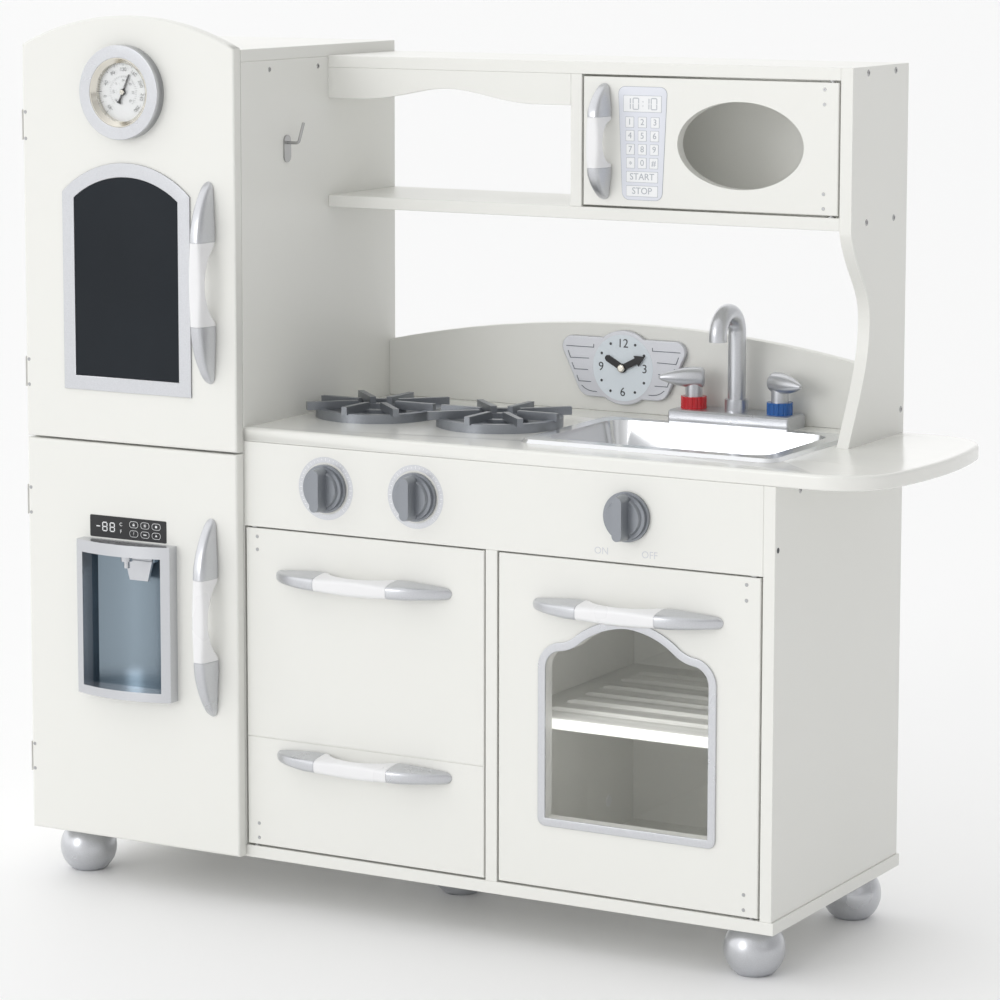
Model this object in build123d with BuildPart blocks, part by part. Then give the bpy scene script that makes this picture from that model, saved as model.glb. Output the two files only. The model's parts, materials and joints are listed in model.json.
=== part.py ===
from build123d import *
import math
import os

# Wooden toy kitchen: a fridge tower on the left, a stove and sink cabinet on the right, and a
# raised shelf with a microwave above the worktop. Millimetres, +X to the right, +Y to the back,
# +Z up. The origin is the centre of the bounding box on the floor.

# ---- boards ---------------------------------------------------------------------------------
board = 12.0                 # thickness of every painted board
back_sheet = 5.0             # thickness of the thin back sheets
edge_round = 0.8             # rounding on sawn board edges
front_round = 2.5            # rounding on the front edges of the fridge doors

# ---- overall sizes --------------------------------------------------------------------------
fridge_width = 252.0
cabinet_width = 572.0        # fridge side to the outer face of the right side panel
worktop_overhang = 106.0     # rounded table end beyond the right side panel
cabinet_depth = 289.0        # front plane of the carcase to its back
upper_depth = 130.5          # depth of the raised shelf unit
base_lip = 2.0               # base board beyond the side panel and the back
foot_height = 48.0
foot_diameter = 58.0
foot_inset = 35.0            # foot centre from the edges of the base board

# ---- heights above the underside of the base board ------------------------------------------
panel_bottom = 332.5         # underside of the control panel
worktop_bottom = 416.0
worktop_thickness = 14.0
shelf_bottom = 634.0         # underside of the raised shelf
top_board_bottom = 774.0
fridge_top_bottom = top_board_bottom + board - 1.0
door_bottom = 1.5            # bottom edge of the lower fridge door
door_split = 404.5           # middle of the gap between the two fridge doors
door_shoulder = 798.3        # top corners of the upper fridge door
door_arch = 29.7             # rise of its arched top

# ---- clearances -----------------------------------------------------------------------------
door_gap = 0.8               # fridge doors to the front of the carcase
door_parting = 2.0           # gap between the two fridge doors
side_gap = 2.0               # inset doors to the panels beside them
top_gap = 1.5                # cupboard and oven doors to the control panel
bottom_gap = 2.0             # inset doors to the board below them
pin_clearance = 0.06         # radial clearance of every turning fit
fixed_clearance = 0.02       # radial clearance of pressed or glued pegs
lay_in = 0.3                 # clearance around pieces that lie in a recess

# ---- handles --------------------------------------------------------------------------------
handle_reach = 27.0
handle_width = 20.0          # across the foot of the grip
handle_front = 12.4          # across its narrower front
handle_tip = 6.5             # half width of the rounded tip
long_handle = 198.0
long_grip = 82.0
short_handle = 112.0
short_grip = 49.0
handle_seam = 0.3            # seam between the grip and its two end caps
grip_thickness = 7.0

# ---- butt hinges of the fridge doors --------------------------------------------------------
barrel_radius = 2.5
barrel_stand = 0.4           # barrel surface to the door edge
leaf_thickness = 1.2
leaf_width = 9.0
hinge_height = 30.0
hinge_pin_radius = 1.2
knuckle_gap = 0.4

# ---- pivot pins of the inset doors ----------------------------------------------------------
pivot_radius = 2.0
pivot_side = 8.0             # pin axis from the hinge edge of the door
pivot_front = 4.5            # pin axis from the front face
pivot_depth = 9.0            # pin length in the door and in the board
pivot_collar_radius = 4.0

# ---- derived frame --------------------------------------------------------------------------
hinge_reach = barrel_stand + 2 * barrel_radius
total_width = hinge_reach + fridge_width + cabinet_width + worktop_overhang
total_depth = handle_reach + board + door_gap + cabinet_depth + base_lip

x_left = -total_width / 2 + hinge_reach
x_fridge = x_left + fridge_width
x_side = x_fridge + cabinet_width
x_inner = x_side - board
x_end = x_side + worktop_overhang
y_back = total_depth / 2 - base_lip
y_front = y_back - cabinet_depth
y_door_back = y_front - door_gap
y_door = y_door_back - board
y_upper = y_back - upper_depth
z_base = foot_height
z_floor = z_base + board
z_panel = z_base + panel_bottom
z_worktop = z_base + worktop_bottom + worktop_thickness
z_shelf = z_base + shelf_bottom
z_top_board = z_base + top_board_bottom
z_fridge_top = z_base + fridge_top_bottom
z_split = z_base + door_split

cupboard_bay = 272.0         # clear width between the fridge and the centre divider
x_divider = x_fridge + cupboard_bay
x_upper_divider = x_divider + 4.0

ornament_x = x_left + fridge_width / 2 - 1.5   # middle line of the fridge door fittings


def save(piece, label):
    piece.part.label = label
    export_step(piece.part, "parts/" + label + ".step")


def panel(low, high, rounding=edge_round):
    """A board between two corners, with its sawn edges eased."""
    with BuildPart() as piece:
        with BuildSketch(Plane.XY.offset(low[2])):
            with Locations(((low[0] + high[0]) / 2, (low[1] + high[1]) / 2)):
                Rectangle(high[0] - low[0], high[1] - low[1])
        extrude(amount=high[2] - low[2])
        fillet(piece.edges(), rounding)
    return piece


def front_plane(y):
    """A vertical plane that faces the user, with local x, y equal to X, Z."""
    return Plane.XZ.offset(-y)


# ---- carcase of the fridge ------------------------------------------------------------------
def fridge_carcase():
    shelf_z = z_split - board / 2
    save(panel((x_left, y_front, z_floor), (x_left + board, y_back, z_fridge_top)), "fridge_left_side")
    save(panel((x_fridge - board, y_front, z_floor), (x_fridge, y_back, z_fridge_top)),
         "fridge_right_side")
    inner_left = x_left + board
    inner_right = x_fridge - board
    save(panel((inner_left, y_front, shelf_z), (inner_right, y_back - back_sheet, shelf_z + board)),
         "fridge_shelf")
    save(panel((x_left, y_front, z_fridge_top), (x_fridge, y_back, z_fridge_top + board)), "fridge_top")


def back_panels():
    """Thin sheets that close the fridge, the cabinet and the microwave at the back."""
    sheets = [
        (x_left + board, x_fridge - board, z_floor, z_split - board / 2),
        (x_left + board, x_fridge - board, z_split + board / 2, z_fridge_top),
        (x_fridge, x_inner, z_floor, z_base + worktop_bottom),
        (x_upper_divider + board, x_inner, z_shelf + board, z_top_board),
    ]
    with BuildPart() as back:
        for x0, x1, z0, z1 in sheets:
            with BuildSketch(front_plane(y_back)):
                with Locations(((x0 + x1) / 2, (z0 + z1) / 2)):
                    Rectangle(x1 - x0 - 2 * fixed_clearance, z1 - z0 - 2 * fixed_clearance)
            extrude(amount=back_sheet)
    return back


# ---- base and feet --------------------------------------------------------------------------
def base_board():
    with BuildPart() as base:
        with BuildSketch(Plane.XY.offset(z_base)):
            with Locations(((x_left + x_side + base_lip) / 2, (y_front + y_back + base_lip) / 2)):
                Rectangle(x_side + base_lip - x_left, cabinet_depth + base_lip)
        extrude(amount=board)
        fillet(base.edges(), edge_round)
        with Locations(*[(x, y, z_floor) for x, y in inset_pivots()[:2]]):
            Cylinder(pivot_radius + fixed_clearance, pivot_depth,
                     align=(Align.CENTER, Align.CENTER, Align.MAX), mode=Mode.SUBTRACT)
    return base


def feet():
    """Five ball feet, cut flat where they meet the base board and the floor."""
    x_right = x_side + base_lip
    y_rear = y_back + base_lip
    places = [(x_left + foot_inset, y_front + foot_inset), (x_right - foot_inset, y_front + foot_inset),
              (x_left + foot_inset, y_rear - foot_inset), (x_right - foot_inset, y_rear - foot_inset),
              ((x_left + x_right) / 2, (y_front + y_rear) / 2)]
    with BuildPart() as balls:
        with Locations(*[(x, y, foot_height / 2) for x, y in places]):
            Sphere(foot_diameter / 2)
        split(bisect_by=Plane.XY, keep=Keep.TOP)
        split(bisect_by=Plane.XY.offset(foot_height), keep=Keep.BOTTOM)
    return balls


# ---- cabinet --------------------------------------------------------------------------------
def cabinet_carcase():
    worktop_under = z_base + worktop_bottom
    inner_back = y_back - back_sheet
    save(panel((x_inner, y_front, z_floor), (x_side, y_back, worktop_under)), "right_side_panel")
    save(divider(inner_back), "centre_divider")


def divider(inner_back):
    """Upright between the two cabinet bays, notched at the top front for the control panel."""
    with BuildPart() as upright:
        with BuildSketch(Plane.YZ.offset(x_divider)):
            with Locations(((y_front + inner_back) / 2, (z_floor + z_base + worktop_bottom) / 2)):
                Rectangle(inner_back - y_front, z_base + worktop_bottom - z_floor)
            with Locations((y_front + board / 2, (z_panel + z_base + worktop_bottom) / 2)):
                Rectangle(board, z_base + worktop_bottom - z_panel, mode=Mode.SUBTRACT)
        extrude(amount=board)
        fillet(upright.edges().filter_by(Axis.X), edge_round)
    return upright


knob_x = (x_fridge + 94.3, x_fridge + 194.9, x_fridge + 422.0)
knob_z = z_base + 376.5
shaft_radius = 3.0


def control_panel():
    with BuildPart() as fascia:
        with BuildSketch(front_plane(y_front + board)):
            with Locations(((x_fridge + x_inner) / 2, (z_panel + z_base + worktop_bottom) / 2)):
                Rectangle(x_inner - x_fridge, z_base + worktop_bottom - z_panel)
        extrude(amount=board)
        fillet(fascia.edges(), edge_round)
        with BuildSketch(front_plane(y_front)):
            with Locations(*[(x, knob_z) for x in knob_x]):
                Circle(shaft_radius + pin_clearance)
        extrude(amount=-board, mode=Mode.SUBTRACT)
        with Locations(*[(x, y, z_panel) for x, y in inset_pivots()[:2]]):
            Cylinder(pivot_radius + fixed_clearance, pivot_depth,
                     align=(Align.CENTER, Align.CENTER, Align.MIN), mode=Mode.SUBTRACT)
    return fascia


# ---- worktop, sink and stove ----------------------------------------------------------------
worktop_bow = 22.0           # bulge of the rounded table end
worktop_corner = 60.0
sink_width = 270.0
sink_front = 42.0            # sink rim to the front edge of the worktop
sink_depth = cabinet_depth - 105.0
sink_rim = 16.0
sink_height = 3.4            # rim above the worktop
bowl_depth = 42.0
bowl_wall = 1.5
bowl_corner = 22.0
sink_x = x_fridge + 416.0
sink_y = y_front + sink_front + sink_depth / 2
bowl_width = sink_width - 2 * sink_rim
bowl_length = sink_depth - 2 * sink_rim


def worktop():
    shoulder = x_end - worktop_bow
    middle = (y_front + y_back) / 2
    with BuildPart() as top:
        with BuildSketch(Plane.XY.offset(z_base + worktop_bottom)) as outline:
            with BuildLine():
                Line((x_fridge, y_back), (x_fridge, y_front))
                Line((x_fridge, y_front), (shoulder, y_front))
                ThreePointArc((shoulder, y_front), (x_end, middle), (shoulder, y_back))
                Line((shoulder, y_back), (x_fridge, y_back))
            make_face()
            fillet(outline.vertices().group_by(Axis.X)[-1], worktop_corner)
            with Locations((sink_x, sink_y)):
                RectangleRounded(bowl_width + 2 * lay_in, bowl_length + 2 * lay_in,
                                 bowl_corner + lay_in, mode=Mode.SUBTRACT)
        extrude(amount=worktop_thickness)
        fillet(top.faces().sort_by(Axis.Z)[-1].outer_wire().edges(), 3.0)
        fillet(top.faces().sort_by(Axis.Z)[0].outer_wire().edges(), 1.5)
    return top


def sink_basin():
    """Drop-in bowl with a bevelled rim."""
    with BuildPart() as basin:
        with BuildSketch(Plane.XY.offset(z_worktop)):
            with Locations((sink_x, sink_y)):
                RectangleRounded(sink_width, sink_depth, 14)
        extrude(amount=sink_height, taper=40)
        with BuildSketch(Plane.XY.offset(z_worktop)):
            with Locations((sink_x, sink_y)):
                RectangleRounded(bowl_width, bowl_length, bowl_corner)
        extrude(amount=-bowl_depth, taper=10)
        with BuildSketch(Plane.XY.offset(z_worktop + sink_height)):
            with Locations((sink_x, sink_y)):
                RectangleRounded(bowl_width - 2 * bowl_wall, bowl_length - 2 * bowl_wall,
                                 bowl_corner - bowl_wall)
        extrude(amount=-bowl_depth - sink_height + bowl_wall, taper=10, mode=Mode.SUBTRACT)
    return basin


burner_ring = 62.5
burner_wall = 8.0
burner_base = 9.0
burner_floor = 3.0           # dished middle of the casting
burner_hub = 28.0
burner_hub_wall = 9.0
burner_arms = (65.0, 73.0)   # reach of the straight and the diagonal arms
burner_arm_start = 21.0
burner_arm_width = 6.0
burner_height = 16.0
burner_y = (y_front + y_back) / 2 - 9.5
burner_x = (x_fridge + 72.0, x_fridge + 211.0)


def burner(x):
    """Cast pan support: a dished ring with a hub and eight raised arms."""
    arm_bottom = z_worktop + burner_base - 1
    with BuildPart() as grate:
        with BuildSketch(Plane.XY.offset(z_worktop)):
            with Locations((x, burner_y)):
                Circle(burner_ring)
        extrude(amount=burner_floor)
        with BuildSketch(Plane.XY.offset(z_worktop)):
            with Locations((x, burner_y)):
                Circle(burner_ring)
                Circle(burner_ring - burner_wall, mode=Mode.SUBTRACT)
                Circle(burner_hub)
                Circle(burner_hub - burner_hub_wall, mode=Mode.SUBTRACT)
        extrude(amount=burner_base)
        with BuildSketch(Plane.XY.offset(arm_bottom)):
            with Locations((x, burner_y)):
                for start, reach in zip((0, 45), burner_arms):
                    with PolarLocations((reach + burner_arm_start) / 2, 4, start_angle=start):
                        Rectangle(reach - burner_arm_start, burner_arm_width)
        extrude(amount=z_worktop + burner_height - arm_bottom)
    return grate


# ---- faucet ---------------------------------------------------------------------------------
faucet_x = x_fridge + 411.0
faucet_y = y_back - 36.5
faucet_width = 130.0
faucet_depth = 41.0
faucet_height = 13.5
tap_pitch = 46.5
spout_radius = 8.8
spout_bend = 21.5
spout_top = z_base + 521.0   # centre height of the bend
spout_drop = 5.0
collar_height = 12.0
collar_radius = 11.6
tap_collar_radius = 12.8
tap_stem_radius = 8.5
tap_height = 44.0            # middle of the lever above the worktop
tap_radius = 10.5            # thick end of the lever
tap_back = 10.5              # blunt end behind the stem axis
tap_tip = 35.0
tap_nose = 2.6               # half thickness just behind the tip
tap_angle = 30.0             # levers point this far forward of the side
z_faucet = z_worktop + faucet_height


def faucet_base():
    with BuildPart() as plinth:
        with BuildSketch(Plane.XY.offset(z_worktop)):
            with Locations((faucet_x, faucet_y)):
                RectangleRounded(faucet_width, faucet_depth, 2)
        extrude(amount=faucet_height)
        chamfer(plinth.faces().sort_by(Axis.Z)[-1].edges(), 2)
        with BuildSketch(Plane.XY.offset(z_faucet)):
            with Locations((faucet_x, faucet_y)):
                Circle(collar_radius)
        extrude(amount=collar_height)
        with BuildSketch(Plane.XY.offset(z_faucet + 1)):
            with Locations((faucet_x, faucet_y)):
                Circle(spout_radius + pin_clearance)
        extrude(amount=collar_height, mode=Mode.SUBTRACT)
    return plinth


def spout():
    bend_y = faucet_y - 2 * spout_bend
    with BuildPart() as tube:
        with BuildLine():
            Line((faucet_x, faucet_y, z_faucet + 1.5), (faucet_x, faucet_y, spout_top))
            ThreePointArc((faucet_x, faucet_y, spout_top),
                          (faucet_x, faucet_y - spout_bend, spout_top + spout_bend),
                          (faucet_x, bend_y, spout_top))
            Line((faucet_x, bend_y, spout_top), (faucet_x, bend_y, spout_top - spout_drop))
        with BuildSketch(Plane.XY.offset(z_faucet + 1.5)):
            with Locations((faucet_x, faucet_y)):
                Circle(spout_radius)
        sweep()
        with BuildSketch(Plane.XY.offset(spout_top - spout_drop)):
            with Locations((faucet_x, bend_y)):
                Circle(spout_radius - 2.5)
        extrude(amount=spout_drop, mode=Mode.SUBTRACT)
    return tube


def tap_collar(side):
    """Coloured grip ring with sixteen flutes, fixed on the faucet base."""
    x = faucet_x + side * tap_pitch
    with BuildPart() as ring:
        with BuildSketch(Plane.XY.offset(z_faucet)):
            with Locations((x, faucet_y)):
                Circle(tap_collar_radius)
                Circle(tap_stem_radius + pin_clearance, mode=Mode.SUBTRACT)
                with PolarLocations(tap_collar_radius + 0.4, 16):
                    Circle(1.1, mode=Mode.SUBTRACT)
        extrude(amount=collar_height)
    return ring


def tap(side):
    """Lever tap: a round stem with a teardrop lever."""
    x = faucet_x + side * tap_pitch
    z = z_worktop + tap_height
    lean = math.radians(tap_angle)
    pointing = Vector(side * math.cos(lean), -math.sin(lean), 0)
    with BuildPart() as lever:
        with BuildSketch(Plane.XY.offset(z_faucet + lay_in)):
            with Locations((x, faucet_y)):
                Circle(tap_stem_radius)
        extrude(amount=z - z_faucet - lay_in)
        with BuildSketch(Plane(origin=(x, faucet_y, z), x_dir=pointing, z_dir=(0, 0, 1))):
            with BuildLine():
                Line((-tap_back, 0), (tap_tip, 0))
                ThreePointArc((tap_tip, 0), (tap_tip - 0.7, 0.7 * tap_nose), (tap_tip - 2, tap_nose))
                ThreePointArc((tap_tip - 2, tap_nose), (0.5 * tap_tip, 0.75 * tap_radius), (0, tap_radius))
                Line((0, tap_radius), (0.4 - 0.6 * tap_back, tap_radius))
                ThreePointArc((0.4 - 0.6 * tap_back, tap_radius), (-0.87 * tap_back, 0.87 * tap_radius),
                              (-tap_back, 0.6 * tap_radius))
                Line((-tap_back, 0.6 * tap_radius), (-tap_back, 0))
            make_face()
        revolve(axis=Axis((x, faucet_y, z), -pointing))
    return lever


# ---- backsplash and clock -------------------------------------------------------------------
backsplash_rise = 58.0       # height of its ends above the worktop
backsplash_arch = 31.0
clock_x = x_fridge + 276.0
clock_z = z_base + 475.5
clock_thickness = 6.0
clock_pin_radius = 1.6
hand_thickness = 1.2
hand_gap = 0.4
y_splash = y_back - board


def backsplash():
    z_end = z_worktop + backsplash_rise
    with BuildPart() as splash:
        with BuildSketch(front_plane(y_back)):
            with BuildLine():
                Polyline((x_fridge, z_end), (x_fridge, z_worktop), (x_inner, z_worktop), (x_inner, z_end))
                ThreePointArc((x_inner, z_end), ((x_fridge + x_inner) / 2, z_end + backsplash_arch),
                              (x_fridge, z_end))
            make_face()
        extrude(amount=board)
        fillet(splash.edges(), edge_round)
    return splash


def clock_plate():
    """Winged plaque that carries the clock dial."""
    with BuildPart() as plaque:
        with BuildSketch(front_plane(y_splash)) as outline:
            with Locations((clock_x, clock_z)):
                Polygon((75.5, 29.7), (-75.5, 29.7), (-46.7, -31), (46.7, -31), align=None)
            fillet(outline.vertices().group_by(Axis.Y)[-1], 11)
            fillet(outline.vertices().group_by(Axis.Y)[0], 15)
            with Locations((clock_x, clock_z)):
                Circle(37.5)
        extrude(amount=clock_thickness)
        fillet(plaque.faces().sort_by(Axis.Y)[0].edges(), 1.2)
        with BuildSketch(front_plane(y_splash)):
            with Locations((clock_x, clock_z)):
                Circle(clock_pin_radius + fixed_clearance)
        extrude(amount=clock_thickness, mode=Mode.SUBTRACT)
    return plaque


def clock_pin():
    """Headed pin through the dial that both hands turn on."""
    face_y = y_splash - clock_thickness
    length = clock_thickness + 3 * hand_gap + 2 * hand_thickness
    with BuildPart() as pin:
        with BuildSketch(front_plane(y_splash)):
            with Locations((clock_x, clock_z)):
                Circle(clock_pin_radius)
        extrude(amount=length)
        with BuildSketch(front_plane(face_y - 3 * hand_gap - 2 * hand_thickness)):
            with Locations((clock_x, clock_z)):
                Circle(4)
        extrude(amount=2.2)
        fillet(pin.faces().sort_by(Axis.Y)[0].edges(), 1.5)
    return pin


def clock_hand(level, outline_points, tilt):
    """A flat hand on the pin; level 0 lies nearest the dial."""
    y = y_splash - clock_thickness - hand_gap - level * (hand_thickness + hand_gap)
    place = Plane(origin=(clock_x, y, clock_z), x_dir=(math.cos(tilt), 0, math.sin(tilt)), z_dir=(0, -1, 0))
    with BuildPart() as hand:
        with BuildSketch(place):
            Circle(4.6)
            Polygon(*outline_points, align=None)
            Circle(clock_pin_radius + pin_clearance, mode=Mode.SUBTRACT)
        extrude(amount=hand_thickness)
    return hand


hour_outline = [(0, -3.4), (19, -3.4), (21.5, -2), (22, 0), (21.5, 2), (19, 3.4), (0, 3.4)]
minute_outline = [(0, -3.2), (18, -3.2), (18, -6), (29, 0), (18, 6), (18, 3.2), (0, 3.2)]
hour_tilt = math.radians(151)
minute_tilt = math.radians(27)


# ---- raised shelf unit ----------------------------------------------------------------------
scoop_depth = 46.0           # how far the side panel is cut back above the worktop
scoop_height = 547.0         # deepest point of the cut above the base underside
valance_depth = 30.5
valance_rise = 12.5
valance_flat = 38.0          # straight stretch at each end of the valance


def upper_right_panel():
    """Side of the shelf unit, scooped out above the worktop."""
    z_high = z_shelf - 2
    with BuildPart() as cheek:
        with BuildSketch(Plane.YZ.offset(x_inner)):
            with BuildLine():
                Polyline((y_upper, z_high), (y_upper, z_top_board + board), (y_back, z_top_board + board),
                         (y_back, z_worktop), (y_upper, z_worktop))
                Spline((y_upper, z_worktop), (y_upper + scoop_depth, z_base + scoop_height),
                       (y_upper, z_high), tangents=((0.55, 1), (0, 1), (-0.35, 1)))
            make_face()
        extrude(amount=board)
    return cheek


def upper_divider():
    with BuildPart() as upright:
        with BuildSketch(Plane.YZ.offset(x_upper_divider)):
            with Locations(((y_upper + y_back) / 2, (z_shelf + board + z_top_board) / 2)):
                Rectangle(upper_depth, z_top_board - z_shelf - board)
        extrude(amount=board)
        fillet(upright.edges(), edge_round)
    return upright


def valance():
    """Arched rail under the top board."""
    z_low = z_top_board - valance_depth
    left = x_fridge + valance_flat
    right = x_upper_divider - valance_flat
    middle = (left + right) / 2
    with BuildPart() as rail:
        with BuildSketch(front_plane(y_upper + board)):
            with BuildLine():
                Polyline((left, z_low), (x_fridge, z_low), (x_fridge, z_top_board),
                         (x_upper_divider, z_top_board), (x_upper_divider, z_low), (right, z_low))
                Spline((right, z_low), (middle, z_low + valance_rise), (left, z_low),
                       tangents=((-1, 0), (-1, 0), (-1, 0)))
            make_face()
        extrude(amount=board)
        fillet(rail.edges().filter_by(Axis.Y, reverse=True), 0.6)
    return rail


# ---- handles --------------------------------------------------------------------------------
def handle(place, length, grip):
    """Bow handle in three pieces, two tapered end caps and a grip, proud of the plane it stands on."""
    side = Plane(origin=place.origin, x_dir=place.x_dir, z_dir=-place.y_dir)
    section = Plane(origin=place.origin, x_dir=place.y_dir, z_dir=place.x_dir)
    half = length / 2
    shoulder = grip / 2
    reach = handle_reach
    wide = handle_width / 2
    flank = wide - 0.9
    with BuildPart() as bow:
        with BuildSketch(side):
            with BuildLine():
                Spline((-half, 0), (-half + 4, 6), (-(half + shoulder) / 2, reach - 7), (-shoulder, reach - 1),
                       (0, reach), (shoulder, reach - 1), ((half + shoulder) / 2, reach - 7),
                       (half - 4, 6), (half, 0), tangents=((0.2, 1), (0.2, -1)))
                Line((half, 0), (shoulder - 3, 0))
                ThreePointArc((shoulder - 3, 0), (0, reach - grip_thickness), (-shoulder + 3, 0))
                Line((-shoulder + 3, 0), (-half, 0))
            make_face()
        extrude(amount=handle_width / 2, both=True)
        with BuildSketch(place):
            with BuildLine():
                for end in (-1, 1):
                    tip = end * (half - handle_tip)
                    joint = end * shoulder
                    ThreePointArc((tip, -handle_tip), (end * half, 0), (tip, handle_tip))
                    ThreePointArc((tip, handle_tip), ((tip + joint) / 2, flank), (joint, wide))
                    ThreePointArc((tip, -handle_tip), ((tip + joint) / 2, -flank), (joint, -wide))
                Line((-shoulder, wide), (shoulder, wide))
                Line((-shoulder, -wide), (shoulder, -wide))
            make_face()
        extrude(amount=reach, mode=Mode.INTERSECT)
        with BuildSketch(section):
            Polygon((-wide, 0), (wide, 0), (handle_front / 2, reach), (-handle_front / 2, reach), align=None)
        extrude(amount=half, both=True, mode=Mode.INTERSECT)
        with BuildSketch(place):
            with Locations((-shoulder, 0), (shoulder, 0)):
                Rectangle(handle_seam, 2 * handle_width)
        extrude(amount=reach + 1, mode=Mode.SUBTRACT)
    return bow


def upright_place(x, y, z):
    return Plane(origin=(x, y, z), x_dir=(0, 0, 1), z_dir=(0, -1, 0))


def level_place(x, y, z):
    return Plane(origin=(x, y, z), x_dir=(1, 0, 0), z_dir=(0, -1, 0))


# ---- fridge doors ---------------------------------------------------------------------------
handle_margin = 30.0         # handle centre line from the free edge of a fridge door
z_door_bottom = z_base + door_bottom
z_lower_top = z_split - door_parting / 2
z_upper_bottom = z_split + door_parting / 2
z_shoulder = z_base + door_shoulder

hinge_x = x_left - barrel_stand - barrel_radius
hinge_y = y_front - door_gap / 2
upper_hinge_z = (z_base + 718.0, z_base + 470.0)
lower_hinge_z = (z_base + 340.0, z_base + 75.0)

thermometer_z = z_base + 753.5
ring_outer = 46.3
ring_inner = 34.0
ring_thickness = 12.0
case_wall = 5.0
case_base = 2.0
case_height = 11.5
case_bevel = 4.0             # sloped inner edge in front of the glass
needle_pin_radius = 1.2

dispenser_bottom = z_base + 151.5
dispenser_height = 156.0
dispenser_width = 112.0
dispenser_edge = 13.0        # frame thickness at its sides
dispenser_bow = 11.0         # extra bulge in the middle
dispenser_border = 9.0
tub_wall = 2.0
tub_back = 15.0              # back of the recess behind the inner face of the door
recess_width = dispenser_width - 2 * dispenser_border
recess_bottom = dispenser_bottom + dispenser_border
recess_height = dispenser_height - dispenser_border - 12.0
recess_top = recess_bottom + recess_height


def upper_door():
    with BuildPart() as door:
        with BuildSketch(front_plane(y_door_back)):
            with BuildLine():
                Polyline((x_left, z_shoulder), (x_left, z_upper_bottom), (x_fridge, z_upper_bottom),
                         (x_fridge, z_shoulder))
                ThreePointArc((x_fridge, z_shoulder), ((x_left + x_fridge) / 2, z_shoulder + door_arch),
                              (x_left, z_shoulder))
            make_face()
        extrude(amount=board)
        fillet(door.faces().sort_by(Axis.Y)[0].edges(), front_round)
        fillet(door.faces().sort_by(Axis.Y)[-1].edges(), edge_round)
    return door


def lower_door():
    with BuildPart() as door:
        with BuildSketch(front_plane(y_door_back)):
            with Locations(((x_left + x_fridge) / 2, (z_door_bottom + z_lower_top) / 2)):
                Rectangle(fridge_width, z_lower_top - z_door_bottom)
        extrude(amount=board)
        fillet(door.faces().sort_by(Axis.Y)[0].edges(), front_round)
        fillet(door.faces().sort_by(Axis.Y)[-1].edges(), edge_round)
        with BuildSketch(front_plane(y_door)):
            with Locations((ornament_x, recess_bottom + recess_height / 2)):
                Rectangle(recess_width + 2 * tub_wall + 2 * lay_in,
                          recess_height + 2 * tub_wall + 2 * lay_in)
        extrude(amount=-board, mode=Mode.SUBTRACT)
    return door


def hinge_leaves(heights, side, first):
    """Butt hinge leaves: side -1 on the door with the middle knuckle, +1 on the fridge with the others."""
    start_y = hinge_y + side * (barrel_radius + knuckle_gap)
    middle_y = start_y + side * leaf_width / 2
    step = hinge_height / 3
    with BuildPart() as hinges:
        for z in heights:
            low = z - hinge_height / 2
            with BuildSketch(Plane.XY.offset(low)):
                with Locations((x_left - leaf_thickness / 2, middle_y)):
                    Rectangle(leaf_thickness, leaf_width)
            extrude(amount=hinge_height)
            for index in range(first, 3, 2):
                with BuildSketch(Plane.XY.offset(low + index * step + knuckle_gap / 2)):
                    with Locations((hinge_x, hinge_y)):
                        Circle(barrel_radius)
                    with Locations((x_left - leaf_thickness / 2, hinge_y + side * 2)):
                        Rectangle(leaf_thickness, 3.2)
                extrude(amount=step - knuckle_gap)
            with BuildSketch(Plane.XY.offset(low + knuckle_gap / 2)):
                with Locations((hinge_x, hinge_y)):
                    Circle(hinge_pin_radius if side > 0 else hinge_pin_radius + pin_clearance)
            extrude(amount=hinge_height - knuckle_gap, mode=Mode.ADD if side > 0 else Mode.SUBTRACT)
    return hinges


# ---- thermometer and chalkboard -------------------------------------------------------------
def thermometer_ring():
    with BuildPart() as ring:
        with BuildSketch(front_plane(y_door)):
            with Locations((ornament_x, thermometer_z)):
                Circle(ring_outer)
                Circle(ring_inner, mode=Mode.SUBTRACT)
        extrude(amount=ring_thickness)
        fillet(ring.faces().sort_by(Axis.Y)[0].edges(), 0.6)
    return ring


def thermometer_case():
    """Metal cup with the dial printed on its floor and a post for the needle."""
    outer = ring_inner - fixed_clearance
    with BuildPart() as case:
        with BuildSketch(front_plane(y_door)):
            with Locations((ornament_x, thermometer_z)):
                Circle(outer)
        extrude(amount=case_height)
        with BuildSketch(front_plane(y_door - case_base)):
            with Locations((ornament_x, thermometer_z)):
                Circle(outer - case_wall)
        extrude(amount=case_height, mode=Mode.SUBTRACT)
        chamfer(case.faces().sort_by(Axis.Y)[0].inner_wires()[0].edges(), case_bevel)
        with BuildSketch(front_plane(y_door - case_base)):
            with Locations((ornament_x, thermometer_z)):
                Circle(needle_pin_radius)
        extrude(amount=3.6)
        with BuildSketch(front_plane(y_door - case_base - 2.6)):
            with Locations((ornament_x, thermometer_z)):
                Circle(2 * needle_pin_radius)
        extrude(amount=1)
    return case


def thermometer_glass():
    with BuildPart() as glass:
        with BuildSketch(front_plane(y_door - case_base - 4.0)):
            with Locations((ornament_x, thermometer_z)):
                Circle(ring_inner - 2 * fixed_clearance - case_wall)
        extrude(amount=1.2)
    return glass


def thermometer_needle():
    tilt = math.radians(66)
    y = y_door - case_base - 1.0
    place = Plane(origin=(ornament_x, y, thermometer_z), x_dir=(math.cos(tilt), 0, math.sin(tilt)),
                  z_dir=(0, -1, 0))
    with BuildPart() as needle:
        with BuildSketch(place):
            Circle(3.2)
            Polygon((-12, -2.6), (-9, -0.8), (19, -0.5), (19, 0.5), (-9, 0.8), (-12, 2.6), align=None)
            Circle(needle_pin_radius + pin_clearance, mode=Mode.SUBTRACT)
        extrude(amount=1.2)
    return needle


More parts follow.
